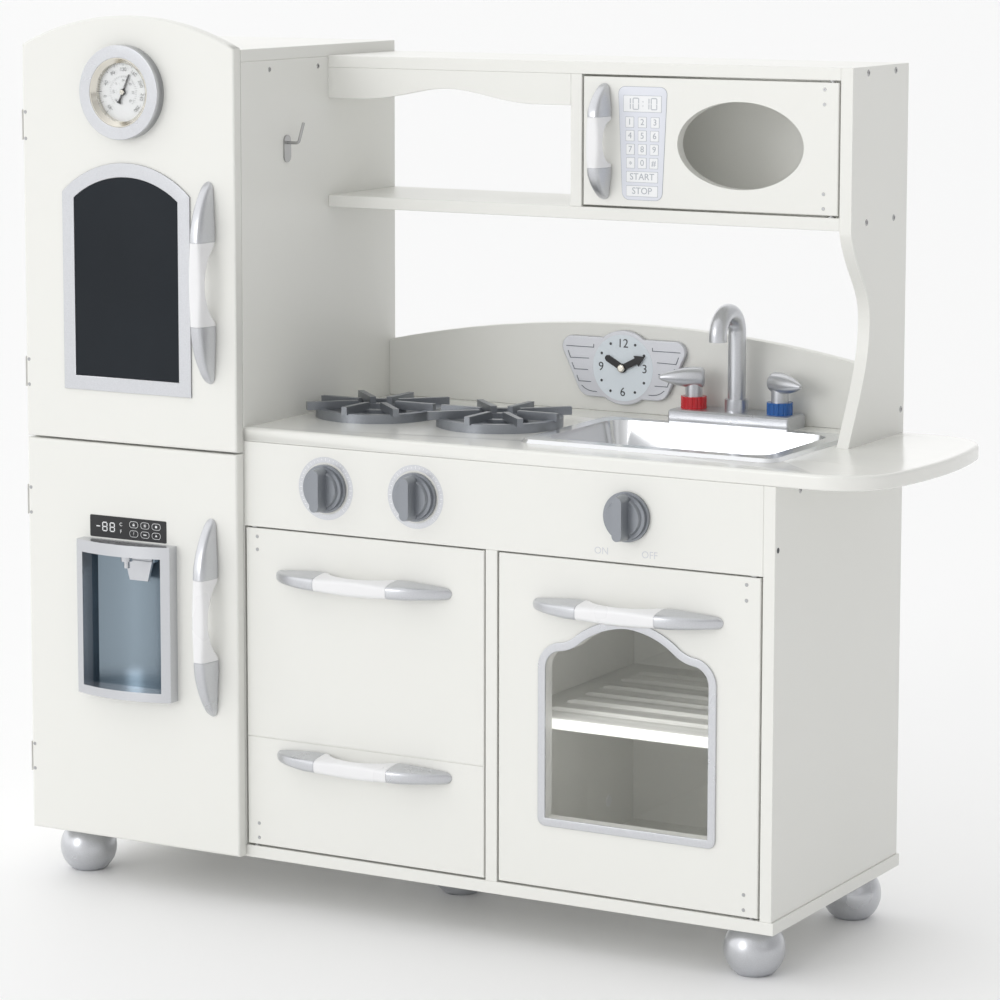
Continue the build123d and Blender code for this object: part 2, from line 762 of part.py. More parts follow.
board_frame_width = 14.0
board_frame_thickness = 2.0
slate_thickness = 1.4
chalkboard_width = 152.0
chalkboard_bottom = z_base + 456.5
chalkboard_side = 197.0      # straight side of the frame
chalkboard_arch = 30.5


def arched_outline(inset):
    """Outline with an arched head, drawn inset from the outer edge of the chalkboard frame."""
    half = chalkboard_width / 2 - inset
    low = chalkboard_bottom + inset
    shoulder = chalkboard_bottom + chalkboard_side - inset * 0.4
    crown = chalkboard_bottom + chalkboard_side + chalkboard_arch - inset
    with BuildSketch() as outline:
        with BuildLine():
            Polyline((ornament_x - half, shoulder), (ornament_x - half, low), (ornament_x + half, low),
                     (ornament_x + half, shoulder))
            ThreePointArc((ornament_x + half, shoulder), (ornament_x, crown), (ornament_x - half, shoulder))
        make_face()
    return outline.sketch


def chalkboard_frame():
    with BuildPart() as frame:
        with BuildSketch(front_plane(y_door)):
            add(arched_outline(0))
        extrude(amount=board_frame_thickness)
        with BuildSketch(front_plane(y_door)):
            add(arched_outline(board_frame_width))
        extrude(amount=board_frame_thickness, mode=Mode.SUBTRACT)
        fillet(frame.faces().sort_by(Axis.Y)[0].edges(), 0.5)
    return frame


def chalkboard():
    with BuildPart() as slate:
        with BuildSketch(front_plane(y_door)):
            add(arched_outline(board_frame_width + lay_in))
        extrude(amount=slate_thickness)
    return slate


# ---- water dispenser ------------------------------------------------------------------------
paddle_pin_radius = 1.5
paddle_y = y_front + 3.0
paddle_z = recess_top - 7.0
paddle_half = 17.0
lug_offset = paddle_half + 2.5   # lugs on both sides of the paddle
nozzle_y = y_door - 6.0


def dispenser_housing():
    """Bowed frame in front of the door and a round-backed tub that passes through it."""
    half = dispenser_width / 2
    side_y = y_door - dispenser_edge
    inner_back = y_front + tub_back - tub_wall
    with BuildPart() as housing:
        with BuildSketch(Plane.XY.offset(dispenser_bottom)):
            with BuildLine():
                Polyline((ornament_x - half, side_y), (ornament_x - half, y_door), (ornament_x + half, y_door),
                         (ornament_x + half, side_y))
                ThreePointArc((ornament_x + half, side_y), (ornament_x, side_y - dispenser_bow),
                              (ornament_x - half, side_y))
            make_face()
        extrude(amount=dispenser_height)
        with BuildSketch(Plane.XY.offset(recess_bottom - tub_wall)):
            add(tub_outline(recess_width / 2 + tub_wall, y_front + tub_back, y_door))
        extrude(amount=recess_height + 2 * tub_wall)
        with BuildSketch(Plane.XY.offset(recess_bottom)):
            add(tub_outline(recess_width / 2, inner_back, side_y - 2 * dispenser_bow))
        extrude(amount=recess_height, mode=Mode.SUBTRACT)
        with BuildSketch(Plane.XY.offset(recess_top)):
            with Locations((ornament_x, nozzle_y)):
                Circle(6)
        extrude(amount=-7)
        with BuildSketch(Plane.XY.offset(recess_top)):
            with Locations((ornament_x, nozzle_y)):
                Circle(3)
        extrude(amount=-14)
        for side in (-1, 1):
            with BuildSketch(Plane.YZ.offset(ornament_x + side * lug_offset - 1)):
                with Locations((paddle_y, (paddle_z + recess_top - 2) / 2)):
                    Rectangle(6, recess_top - paddle_z + 4)
            extrude(amount=2)
        with BuildSketch(Plane.YZ.offset(ornament_x - lug_offset)):
            with Locations((paddle_y, paddle_z)):
                Circle(paddle_pin_radius)
        extrude(amount=2 * lug_offset)
    return housing


def tub_outline(half, back, front):
    """Plan of the recess: straight sides and a curved back."""
    straight = y_front - 2
    with BuildSketch() as plan:
        with BuildLine():
            Polyline((ornament_x - half, straight), (ornament_x - half, front), (ornament_x + half, front),
                     (ornament_x + half, straight))
            ThreePointArc((ornament_x + half, straight), (ornament_x, back), (ornament_x - half, straight))
        make_face()
    return plan.sketch


def dispenser_paddle():
    """Push paddle that hangs in the recess."""
    with BuildPart() as paddle:
        with BuildSketch(front_plane(paddle_y + 1.5)):
            with Locations((ornament_x, paddle_z)):
                Polygon((-paddle_half, 0), (-11, -23), (11, -23), (paddle_half, 0), align=None)
        extrude(amount=3)
        with BuildSketch(Plane.YZ.offset(ornament_x - paddle_half)):
            with Locations((paddle_y, paddle_z)):
                Circle(3.4)
        extrude(amount=2 * paddle_half)
        with BuildSketch(Plane.YZ.offset(ornament_x - paddle_half)):
            with Locations((paddle_y, paddle_z)):
                Circle(paddle_pin_radius + pin_clearance)
        extrude(amount=2 * paddle_half, mode=Mode.SUBTRACT)
    return paddle


def utensil_hook():
    """Screwed plate on the fridge side with a wire hook that stands up and out."""
    y = y_front + 81.0
    z = z_base + 697.0
    with BuildPart() as hook:
        with BuildSketch(Plane.YZ.offset(x_fridge)):
            with Locations((y, z)):
                SlotOverall(27, 12, rotation=90)
        extrude(amount=1.5)
        with BuildLine():
            FilletPolyline((x_fridge + 1, y, z + 6), (x_fridge + 14, y, z + 6), (x_fridge + 20, y, z + 26), radius=4)
        with BuildSketch(Plane.YZ.offset(x_fridge + 1)):
            with Locations((y, z + 6)):
                Circle(1.5)
        sweep()
    return hook


# ---- inset doors ----------------------------------------------------------------------------
z_inset_bottom = z_floor + bottom_gap
z_inset_top = z_panel - top_gap
cupboard_left = x_fridge + side_gap
cupboard_right = x_divider - side_gap
oven_left = x_divider + board + side_gap
oven_right = x_inner - side_gap
microwave_left = x_upper_divider + board + side_gap
microwave_right = x_inner - side_gap
z_microwave_bottom = z_shelf + board + bottom_gap
z_microwave_top = z_top_board - bottom_gap
groove_z = z_base + 123.0     # routed line that makes the cupboard look like a door over a drawer
groove_width = 1.2
groove_depth = 0.9
window_half = 85.0
window_bottom = z_base + 82.0
window_frame = 8.0
pane_thickness = 2.0
pane_overlap = 5.0
oval_half_width = 66.0
oval_half_height = 41.5
oval_x = x_fridge + 457.0


def inset_pivots():
    """Pin axes of the cupboard, oven and microwave doors."""
    return [(cupboard_left + pivot_side, y_front + pivot_front),
            (oven_right - pivot_side, y_front + pivot_front),
            (microwave_right - pivot_side, y_upper + pivot_front)]


def inset_door(left, right, low, high, front, pivot, opening=None):
    """Flat inset door, drilled at top and bottom for its pivot pins, with an optional window opening."""
    hole = pivot_radius + pin_clearance
    with BuildPart() as door:
        with BuildSketch(front_plane(front + board)):
            with Locations(((left + right) / 2, (low + high) / 2)):
                Rectangle(right - left, high - low)
        extrude(amount=board)
        fillet(door.faces().sort_by(Axis.Y)[0].edges(), 1.2)
        fillet(door.faces().sort_by(Axis.Y)[-1].edges(), edge_round)
        for z, way in ((low, 1), (high, -1)):
            with BuildSketch(Plane.XY.offset(z)):
                with Locations(pivot):
                    Circle(hole)
            extrude(amount=way * (pivot_depth + 1), mode=Mode.SUBTRACT)
        if opening:
            with BuildSketch(front_plane(front)):
                add(opening)
            extrude(amount=-board, mode=Mode.SUBTRACT)
    return door


def cupboard_door(pivot):
    with BuildPart() as door:
        add(inset_door(cupboard_left, cupboard_right, z_inset_bottom, z_inset_top, y_front, pivot).part)
        with BuildSketch(Plane.YZ.offset(cupboard_left)):
            with Locations((y_front, groove_z)):
                Rectangle(2 * groove_depth, groove_width)
        extrude(amount=cupboard_right - cupboard_left, mode=Mode.SUBTRACT)
    return door


def window_outline(grow=0.0):
    """Ogee-headed oven window, grown outward all round by the given amount."""
    middle = (oven_left + oven_right) / 2
    half = window_half
    shoulder = window_bottom + 144
    with BuildSketch() as outline:
        with BuildLine():
            Polyline((middle - half, shoulder), (middle - half, window_bottom), (middle + half, window_bottom),
                     (middle + half, shoulder))
            for side in (-1, 1):
                ThreePointArc((middle + side * half, shoulder), (middle + side * (half - 4), shoulder + 11),
                              (middle + side * (half - 14), shoulder + 17))
                ThreePointArc((middle + side * (half - 14), shoulder + 17),
                              (middle + side * (half - 27), shoulder + 20.5),
                              (middle + side * (half - 38), shoulder + 28))
                ThreePointArc((middle + side * (half - 38), shoulder + 28),
                              (middle + side * (half - 60), shoulder + 40), (middle, window_bottom + 189))
        make_face()
        if grow:
            offset(amount=grow)
    return outline.sketch


def oven_window_frame():
    with BuildPart() as frame:
        with BuildSketch(front_plane(y_front)):
            add(window_outline(window_frame))
        extrude(amount=2)
        with BuildSketch(front_plane(y_front)):
            add(window_outline())
        extrude(amount=2, mode=Mode.SUBTRACT)
    return frame


def oven_window_pane():
    with BuildPart() as pane:
        with BuildSketch(front_plane(y_front + board + pane_thickness)):
            add(window_outline(pane_overlap))
        extrude(amount=pane_thickness)
    return pane


def oven_shelf():
    """Slatted shelf across the oven bay."""
    x0 = x_divider + board
    x1 = x_inner
    y0 = y_front + board + pane_thickness + 6
    y1 = y_back - back_sheet
    z = z_base + 163.0
    slots = 6
    pitch = (y1 - y0 - 40) / slots
    with BuildPart() as shelf:
        with BuildSketch(Plane.XY.offset(z)):
            with Locations(((x0 + x1) / 2, (y0 + y1) / 2)):
                Rectangle(x1 - x0 - 2 * fixed_clearance, y1 - y0 - 2 * fixed_clearance)
                with GridLocations(0, pitch, 1, slots):
                    SlotOverall(x1 - x0 - 50, pitch * 0.4, mode=Mode.SUBTRACT)
        extrude(amount=10)
    return shelf


def oval_outline():
    with BuildSketch() as outline:
        with Locations((oval_x, (z_microwave_bottom + z_microwave_top) / 2)):
            Ellipse(oval_half_width, oval_half_height)
    return outline.sketch


def pivot_pins():
    """Collared steel pins on which the three inset doors turn."""
    spans = [(z_floor, z_panel), (z_floor, z_panel), (z_shelf + board, z_top_board)]
    with BuildPart() as pins:
        for (x, y), (low, high) in zip(inset_pivots(), spans):
            for z, way in ((low, 1), (high, -1)):
                with BuildSketch(Plane.XY.offset(z)):
                    with Locations((x, y)):
                        Circle(pivot_radius)
                extrude(amount=-way * (pivot_depth - 1))
                with BuildSketch(Plane.XY.offset(z)):
                    with Locations((x, y)):
                        Circle(pivot_radius)
                extrude(amount=way * pivot_depth)
                with BuildSketch(Plane.XY.offset(z)):
                    with Locations((x, y)):
                        Circle(pivot_collar_radius)
                extrude(amount=way * 0.9)
    return pins


def drilled_board(low, high, pivots, z, way):
    """A board with blind holes for pivot pins, open downward or upward at height z."""
    with BuildPart() as piece:
        with BuildSketch(Plane.XY.offset(low[2])):
            with Locations(((low[0] + high[0]) / 2, (low[1] + high[1]) / 2)):
                Rectangle(high[0] - low[0], high[1] - low[1])
        extrude(amount=high[2] - low[2])
        fillet(piece.edges(), edge_round)
        with BuildSketch(Plane.XY.offset(z)):
            with Locations(*pivots):
                Circle(pivot_radius + fixed_clearance)
        extrude(amount=way * pivot_depth, mode=Mode.SUBTRACT)
    return piece


def door_catches():
    """Blocks with magnets that stop the two cabinet doors."""
    with BuildPart() as catches:
        for x in (cupboard_right - 14, oven_left + 14):
            with BuildSketch(Plane.XY.offset(z_floor)):
                with Locations((x, y_front + board + 7)):
                    Rectangle(14, 12)
            extrude(amount=14)
    return catches


# ---- knobs ----------------------------------------------------------------------------------
knob_radius = 23.5
knob_stand = 0.5             # knob underside to the fascia
knob_rim = 3.5               # height of the outer step
knob_flange = 7.0
knob_height = 22.0
knob_bar = 13.0


def knob(x):
    """Stove knob: stepped disc, bar grip and a shaft through the fascia with a stop washer."""
    face = y_front - knob_stand
    with BuildPart() as control:
        with BuildSketch(front_plane(face)):
            with Locations((x, knob_z)):
                Circle(knob_radius)
        extrude(amount=knob_rim)
        with BuildSketch(front_plane(face)):
            with Locations((x, knob_z)):
                Circle(knob_radius - 1.6)
        extrude(amount=knob_flange, taper=6)
        with BuildSketch(front_plane(face - knob_flange)):
            with Locations((x, knob_z)):
                Circle(knob_radius - 5.5)
        extrude(amount=3, taper=25)
        with BuildSketch(front_plane(face - knob_flange)):
            with Locations((x, knob_z)):
                SlotOverall(2 * knob_radius - 3, knob_bar, rotation=90)
        extrude(amount=knob_height - knob_flange, taper=6)
        with BuildSketch(front_plane(face)):
            with Locations((x, knob_z)):
                Circle(shaft_radius)
        extrude(amount=-board - knob_stand - 4)
        with BuildSketch(front_plane(y_front + board + 0.5)):
            with Locations((x, knob_z)):
                Circle(shaft_radius + 3)
        extrude(amount=-2.5)
    return control


def build_fridge():
    fridge_carcase()
    save(back_panels(), "back_panels")
    save(hinge_leaves(upper_hinge_z + lower_hinge_z, 1, 0), "fridge_side_hinges")
    save(upper_door(), "fridge_upper_door")
    save(hinge_leaves(upper_hinge_z, -1, 1), "upper_door_hinges")
    save(handle(upright_place(x_fridge - handle_margin, y_door, z_base + 570.5), long_handle, long_grip),
         "upper_door_handle")
    save(thermometer_ring(), "thermometer_ring")
    save(thermometer_case(), "thermometer_case")
    save(thermometer_glass(), "thermometer_glass")
    save(thermometer_needle(), "thermometer_needle")
    save(chalkboard_frame(), "chalkboard_frame")
    save(chalkboard(), "chalkboard")
    save(lower_door(), "fridge_lower_door")
    save(hinge_leaves(lower_hinge_z, -1, 1), "lower_door_hinges")
    save(handle(upright_place(x_fridge - handle_margin, y_door, z_base + 239.5), long_handle, long_grip),
         "lower_door_handle")
    save(dispenser_housing(), "dispenser_housing")
    save(dispenser_paddle(), "dispenser_paddle")
    save(utensil_hook(), "utensil_hook")


def build_cabinet():
    save(base_board(), "base_board")
    save(feet(), "feet")
    cabinet_carcase()
    save(control_panel(), "control_panel")
    save(worktop(), "worktop")
    save(sink_basin(), "sink_basin")
    save(backsplash(), "backsplash")
    for label, x in zip(("left_burner", "right_burner"), burner_x):
        save(burner(x), label)
    for label, x in zip(("left_knob", "middle_knob", "oven_knob"), knob_x):
        save(knob(x), label)
    save(pivot_pins(), "pivot_pins")
    save(door_catches(), "door_catches")
    low, high = z_inset_bottom, z_inset_top
    cupboard, oven, _ = inset_pivots()
    save(cupboard_door(cupboard), "cupboard_door")
    cupboard_middle = (cupboard_left + cupboard_right) / 2
    upper_bow = handle(level_place(cupboard_middle, y_front, z_base + 286), long_handle, long_grip)
    lower_bow = handle(level_place(cupboard_middle, y_front, z_base + 107), long_handle, long_grip)
    with BuildPart() as bows:
        add(upper_bow.part)
        add(lower_bow.part)
    save(bows, "cupboard_handles")
    save(inset_door(oven_left, oven_right, low, high, y_front, oven, window_outline()), "oven_door")
    oven_middle = (oven_left + oven_right) / 2
    save(handle(level_place(oven_middle, y_front, z_base + 286), long_handle, long_grip), "oven_handle")
    save(oven_window_frame(), "oven_window_frame")
    save(oven_window_pane(), "oven_window_pane")
    save(oven_shelf(), "oven_shelf")


def build_faucet():
    save(faucet_base(), "faucet_base")
    save(spout(), "spout")
    for name, side in (("hot", -1), ("cold", 1)):
        save(tap_collar(side), name + "_collar")
        save(tap(side), name + "_tap")


def build_clock():
    save(clock_plate(), "clock_plate")
    save(clock_pin(), "clock_pin")
    save(clock_hand(0, hour_outline, hour_tilt), "hour_hand")
    save(clock_hand(1, minute_outline, minute_tilt), "minute_hand")


def build_shelf_unit():
    save(upper_right_panel(), "upper_right_panel")
    pivot = [inset_pivots()[2]]
    save(drilled_board((x_fridge, y_upper, z_shelf), (x_inner, y_back, z_shelf + board),
                       pivot, z_shelf + board, -1), "raised_shelf")
    save(drilled_board((x_fridge, y_upper, z_top_board), (x_inner, y_back, z_top_board + board),
                       pivot, z_top_board, 1), "top_board")
    save(upper_divider(), "upper_divider")
    save(valance(), "valance")
    save(inset_door(microwave_left, microwave_right, z_microwave_bottom, z_microwave_top, y_upper,
                    pivot[0], oval_outline()), "microwave_door")
    save(handle(upright_place(microwave_left + 23, y_upper, (z_microwave_bottom + z_microwave_top) / 2),
                short_handle, short_grip), "microwave_handle")


os.makedirs("parts", exist_ok=True)
build_fridge()
build_cabinet()
build_faucet()
build_clock()
build_shelf_unit()
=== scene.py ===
"""Finishes, printed dials and small fittings of a wooden toy kitchen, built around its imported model."""

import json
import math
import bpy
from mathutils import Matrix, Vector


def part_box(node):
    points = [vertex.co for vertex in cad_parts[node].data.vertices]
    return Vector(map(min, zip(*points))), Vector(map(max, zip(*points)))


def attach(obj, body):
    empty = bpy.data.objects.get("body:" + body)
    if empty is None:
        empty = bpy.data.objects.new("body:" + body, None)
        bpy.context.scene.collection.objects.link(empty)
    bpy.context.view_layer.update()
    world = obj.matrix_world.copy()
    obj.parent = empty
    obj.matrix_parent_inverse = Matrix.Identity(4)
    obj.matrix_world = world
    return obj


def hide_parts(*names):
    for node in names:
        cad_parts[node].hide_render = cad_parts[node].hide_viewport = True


bl_info = {
    "name": "Toy Kitchen",
    "version": (1, 0, 0),
    "blender": (4, 5, 0),
    "location": "View3D > Sidebar > Toy Kitchen",
    "description": "Finishes, printed dials and small fittings of a wooden toy kitchen",
    "category": "Add Mesh",
}

import bmesh
import bpy
from bpy.props import FloatProperty, FloatVectorProperty, PointerProperty
from mathutils import Matrix, Vector

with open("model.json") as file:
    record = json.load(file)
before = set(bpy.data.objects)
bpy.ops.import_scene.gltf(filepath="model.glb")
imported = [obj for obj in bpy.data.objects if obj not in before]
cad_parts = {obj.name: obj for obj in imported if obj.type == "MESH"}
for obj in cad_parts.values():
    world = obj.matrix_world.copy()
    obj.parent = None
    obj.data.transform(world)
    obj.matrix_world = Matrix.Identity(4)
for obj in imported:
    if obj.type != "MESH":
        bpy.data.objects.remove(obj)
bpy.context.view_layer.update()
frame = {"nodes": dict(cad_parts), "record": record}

MM = 0.001
PRINT = 0.15 * MM            # thickness of printed and painted marks
BEDDED = 0.02 * MM           # how far a print sinks into what carries it

SOFT_EDGES = {
    # CAD nodes whose edges are eased, with the width of the easing in millimetres
    "left_burner": 1.4, "right_burner": 1.4, "dispenser_housing": 1.2, "oven_window_frame": 0.7,
    "left_knob": 1.0, "middle_knob": 1.0, "oven_knob": 1.0, "faucet_base": 0.6, "sink_basin": 0.8,
    "hot_collar": 0.5, "cold_collar": 0.5, "centre_divider": 0.5, "upper_right_panel": 0.8,
    "dispenser_paddle": 0.4, "hour_hand": 0.15, "minute_hand": 0.15, "thermometer_case": 0.4,
    "door_catches": 0.5, "utensil_hook": 0.2, "spout": 0.6, "hot_tap": 0.4, "cold_tap": 0.4,
}
SMOOTH_NODES = ("feet", "spout", "hot_tap", "cold_tap", "thermometer_ring", "worktop", "clock_plate",
                "chalkboard_frame", "fridge_side_hinges", "upper_door_hinges", "lower_door_hinges",
                "utensil_hook", "clock_pin", "backsplash", "valance", "fridge_upper_door")


# ---- places -----------------------------------------------------------------------------------
def centre(node):
    low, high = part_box(node)
    return (low + high) / 2


def on_front(x, y, z, turn=0.0):
    """Local x to the right, y up and z towards the user, on a surface that faces -Y."""
    upright = Matrix.Rotation(math.radians(90), 4, "X")
    return Matrix.Translation((x, y, z)) @ upright @ Matrix.Rotation(turn, 4, "Z")


def on_right(x, y, z):
    """Local x to the back, y up and z to the right, on a surface that faces +X."""
    axes = Matrix(((0, 0, 1), (1, 0, 0), (0, 1, 0))).to_4x4()
    return Matrix.Translation((x, y, z)) @ axes


# ---- meshes -----------------------------------------------------------------------------------
def new_verts(result):
    return [item for item in result["geom"] if isinstance(item, bmesh.types.BMVert)]


def box_mark(bm, place, width, height, depth):
    """A thin block standing on the place's plane."""
    size = Matrix.Diagonal((width, height, depth, 1))
    bmesh.ops.create_cube(bm, size=1, matrix=place @ Matrix.Translation((0, 0, depth / 2)) @ size)


def disc(bm, place, radius, depth, top=None, segments=48):
    """A round plate or stud standing on the place's plane."""
    bmesh.ops.create_cone(bm, cap_ends=True, segments=segments, radius1=radius,
                          radius2=radius if top is None else top, depth=depth,
                          matrix=place @ Matrix.Translation((0, 0, depth / 2)))


def annulus(bm, place, inner, outer, depth, segments=96):
    """A flat ring, made by turning its section round the place's z axis."""
    section = bmesh.ops.create_grid(bm, x_segments=1, y_segments=1, size=0.5)["verts"]
    bmesh.ops.scale(bm, vec=(outer - inner, depth, 1), verts=section)
    bmesh.ops.rotate(bm, cent=(0, 0, 0), matrix=Matrix.Rotation(math.radians(90), 3, "X"), verts=section)
    bmesh.ops.translate(bm, vec=((outer + inner) / 2, 0, depth / 2), verts=section)
    faces = list({face for vert in section for face in vert.link_faces})
    edges = list({edge for vert in section for edge in vert.link_edges})
    bmesh.ops.spin(bm, geom=section + edges + faces, cent=(0, 0, 0), axis=(0, 0, 1), dvec=(0, 0, 0),
                   angle=2 * math.pi, steps=segments, use_merge=True, use_duplicate=False)
    verts = connected(section)
    bmesh.ops.remove_doubles(bm, verts=verts, dist=1e-6)
    verts = [vert for vert in verts if vert.is_valid]
    inside = [face for face in {face for vert in verts for face in vert.link_faces}
              if all(len(edge.link_faces) > 2 for edge in face.edges)]
    bmesh.ops.delete(bm, geom=inside, context="FACES_ONLY")
    bmesh.ops.transform(bm, matrix=place, verts=[vert for vert in verts if vert.is_valid])


def connected(verts):
    """All vertices joined to the given ones."""
    found = set(verts)
    waiting = list(verts)
    while waiting:
        vert = waiting.pop()
        for link in vert.link_edges:
            other = link.other_vert(vert)
            if other not in found:
                found.add(other)
                waiting.append(other)
    return list(found)


def rounded_plate(bm, place, width, height, corner, depth, foot=1.0, ease=0.0):
    """A plate with rounded corners; foot is the width of its lower edge against the upper one."""
    verts = bmesh.ops.create_grid(bm, x_segments=1, y_segments=1, size=0.5)["verts"]
    bmesh.ops.scale(bm, vec=(width, height, 1), verts=verts)
    lower = [vert for vert in verts if vert.co.y < 0]
    bmesh.ops.scale(bm, vec=(foot, 1, 1), verts=lower)
    bmesh.ops.bevel(bm, geom=verts, offset=corner, segments=6, profile=0.5, affect="VERTICES",
                    material=-1)
    flat = [face for face in bm.faces
            if not face.tag and all(abs(vert.co.z) < 1e-9 for vert in face.verts)]
    outline = flat[-1]
    raised = bmesh.ops.extrude_face_region(bm, geom=[outline])
    top = [item for item in raised["geom"] if isinstance(item, bmesh.types.BMFace)]
    bmesh.ops.translate(bm, vec=(0, 0, depth), verts=new_verts(raised))
    whole = connected(top[0].verts)
    if not outline.is_valid:
        rim = [edge for vert in whole for edge in vert.link_edges if edge.is_boundary]
        bmesh.ops.holes_fill(bm, edges=rim)
    if ease:
        bmesh.ops.bevel(bm, geom=list(top[0].edges), offset=ease, segments=3, profile=0.5, affect="EDGES",
                        material=-1)
    whole = connected([vert for vert in whole if vert.is_valid])
    bmesh.ops.recalc_face_normals(bm, faces=list({face for vert in whole for face in vert.link_faces}))
    bmesh.ops.transform(bm, matrix=place, verts=whole)
    for item in bm.faces:
        item.tag = True


def lettering(bm, words, size, place, thickness=PRINT):
    """Raised words, centred on the place."""
    curve = bpy.data.curves.new("lettering", "FONT")
    curve.body = words
    curve.size = size
    curve.align_x = "CENTER"
    curve.align_y = "CENTER"
    curve.resolution_u = 3
    curve.extrude = thickness
    holder = bpy.data.objects.new("lettering", curve)
    bpy.context.collection.objects.link(holder)
    depsgraph = bpy.context.evaluated_depsgraph_get()
    mesh = bpy.data.meshes.new_from_object(holder.evaluated_get(depsgraph))
    mesh.transform(place)
    bm.from_mesh(mesh)
    bpy.data.objects.remove(holder)
    bpy.data.curves.remove(curve)
    bpy.data.meshes.remove(mesh)


def stroke(bm, points, place, width, depth):
    """A painted line through points in the place's plane, with round ends and corners."""
    for start, end in zip(points, points[1:]):
        start, end = Vector(start), Vector(end)
        middle = (start + end) / 2
        turn = math.atan2(end.y - start.y, end.x - start.x)
        spot = place @ Matrix.Translation((middle.x, middle.y, 0)) @ Matrix.Rotation(turn, 4, "Z")
        box_mark(bm, spot, (end - start).length, width, depth)
    for point in points:
        disc(bm, place @ Matrix.Translation((*point, 0)), width / 2, depth, segments=12)


SEGMENTS = {"0": "abcdef", "1": "bc", "8": "abcdefg", "-": "g"}
SEGMENT_PLACES = {"a": (0, 1, 0), "g": (0, 0, 0), "d": (0, -1, 0), "b": (0.5, 0.5, 1), "c": (0.5, -0.5, 1),
                  "e": (-0.5, -0.5, 1), "f": (-0.5, 0.5, 1)}


def display_digit(bm, digit, place, width, height, weight, depth):
    """A seven-segment figure."""
    for name in SEGMENTS[digit]:
        across, up, upright = SEGMENT_PLACES[name]
        spot = place @ Matrix.Translation((across * width, up * height / 2, 0))
        if upright:
            box_mark(bm, spot, weight, height / 2 - weight * 0.7, depth)
        else:
            box_mark(bm, spot, width - weight * 0.7, weight, depth)


def add_piece(name, bm, materials, body, smooth=35.0, replaced=()):
    """Puts a finished mesh in the scene, with its materials, on its body, and hides the CAD nodes it
    replaces.
    """
    mesh = bpy.data.meshes.new(name)
    bm.to_mesh(mesh)
    bm.free()
    for material in materials:
        mesh.materials.append(material)
    mesh.shade_smooth()
    mesh.set_sharp_from_angle(angle=math.radians(smooth))
    piece = bpy.data.objects.new(name, mesh)
    bpy.context.collection.objects.link(piece)
    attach(piece, body)
    if replaced:
        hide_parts(*replaced)
    return piece


# ---- materials --------------------------------------------------------------------------------
def shared_group(name, inputs, outputs, build):
    """A shader node group with named sockets, built once."""
    group = bpy.data.node_groups.get(name)
    if group:
        return group
    group = bpy.data.node_groups.new(name, "ShaderNodeTree")
    for label, kind, value in inputs:
        socket = group.interface.new_socket(name=label, in_out="INPUT", socket_type=kind)
        socket.default_value = value
    for label, kind in outputs:
        group.interface.new_socket(name=label, in_out="OUTPUT", socket_type=kind)
    build(group, group.nodes.new("NodeGroupInput"), group.nodes.new("NodeGroupOutput"))
    return group


def spray_group():
    """Roughness and height of a sprayed surface, uneven over centimetres and stippled over millimetres."""
    def build(group, sizes, out):
        where = group.nodes.new("ShaderNodeTexCoord")
        broad = group.nodes.new("ShaderNodeTexNoise")
        broad.inputs["Scale"].default_value = 14.0
        broad.inputs["Detail"].default_value = 3.0
        fine = group.nodes.new("ShaderNodeTexNoise")
        fine.inputs["Detail"].default_value = 1.0
        spread = group.nodes.new("ShaderNodeMapRange")
        group.links.new(where.outputs["Object"], broad.inputs["Vector"])
        group.links.new(where.outputs["Object"], fine.inputs["Vector"])
        group.links.new(sizes.outputs["Stipple Scale"], fine.inputs["Scale"])
        group.links.new(broad.outputs["Fac"], spread.inputs["Value"])
        group.links.new(sizes.outputs["Smoothest"], spread.inputs["To Min"])
        group.links.new(sizes.outputs["Roughest"], spread.inputs["To Max"])
        group.links.new(spread.outputs["Result"], out.inputs["Roughness"])
        group.links.new(fine.outputs["Fac"], out.inputs["Height"])
    inputs = (("Stipple Scale", "NodeSocketFloat", 700.0), ("Smoothest", "NodeSocketFloat", 0.3),
              ("Roughest", "NodeSocketFloat", 0.5))
    outputs = (("Roughness", "NodeSocketFloat"), ("Height", "NodeSocketFloat"))
    return shared_group("Sprayed surface", inputs, outputs, build)


def flake_group():
    """Colour of metallic paint, which sparkles over fractions of a millimetre."""
    def build(group, sizes, out):
        where = group.nodes.new("ShaderNodeTexCoord")
        flakes = group.nodes.new("ShaderNodeTexNoise")
        flakes.inputs["Detail"].default_value = 2.0
        blend = group.nodes.new("ShaderNodeMix")
        blend.data_type = "RGBA"
        group.links.new(where.outputs["Object"], flakes.inputs["Vector"])
        group.links.new(sizes.outputs["Flake Scale"], flakes.inputs["Scale"])
        group.links.new(flakes.outputs["Fac"], blend.inputs["Factor"])
        group.links.new(sizes.outputs["Dark"], blend.inputs["A"])
        group.links.new(sizes.outputs["Light"], blend.inputs["B"])
        group.links.new(blend.outputs["Result"], out.inputs["Color"])
    inputs = (("Flake Scale", "NodeSocketFloat", 1500.0), ("Dark", "NodeSocketColor", (0.3, 0.3, 0.3, 1)),
              ("Light", "NodeSocketColor", (0.7, 0.7, 0.7, 1)))
    return shared_group("Metallic flakes", inputs, (("Color", "NodeSocketColor"),), build)


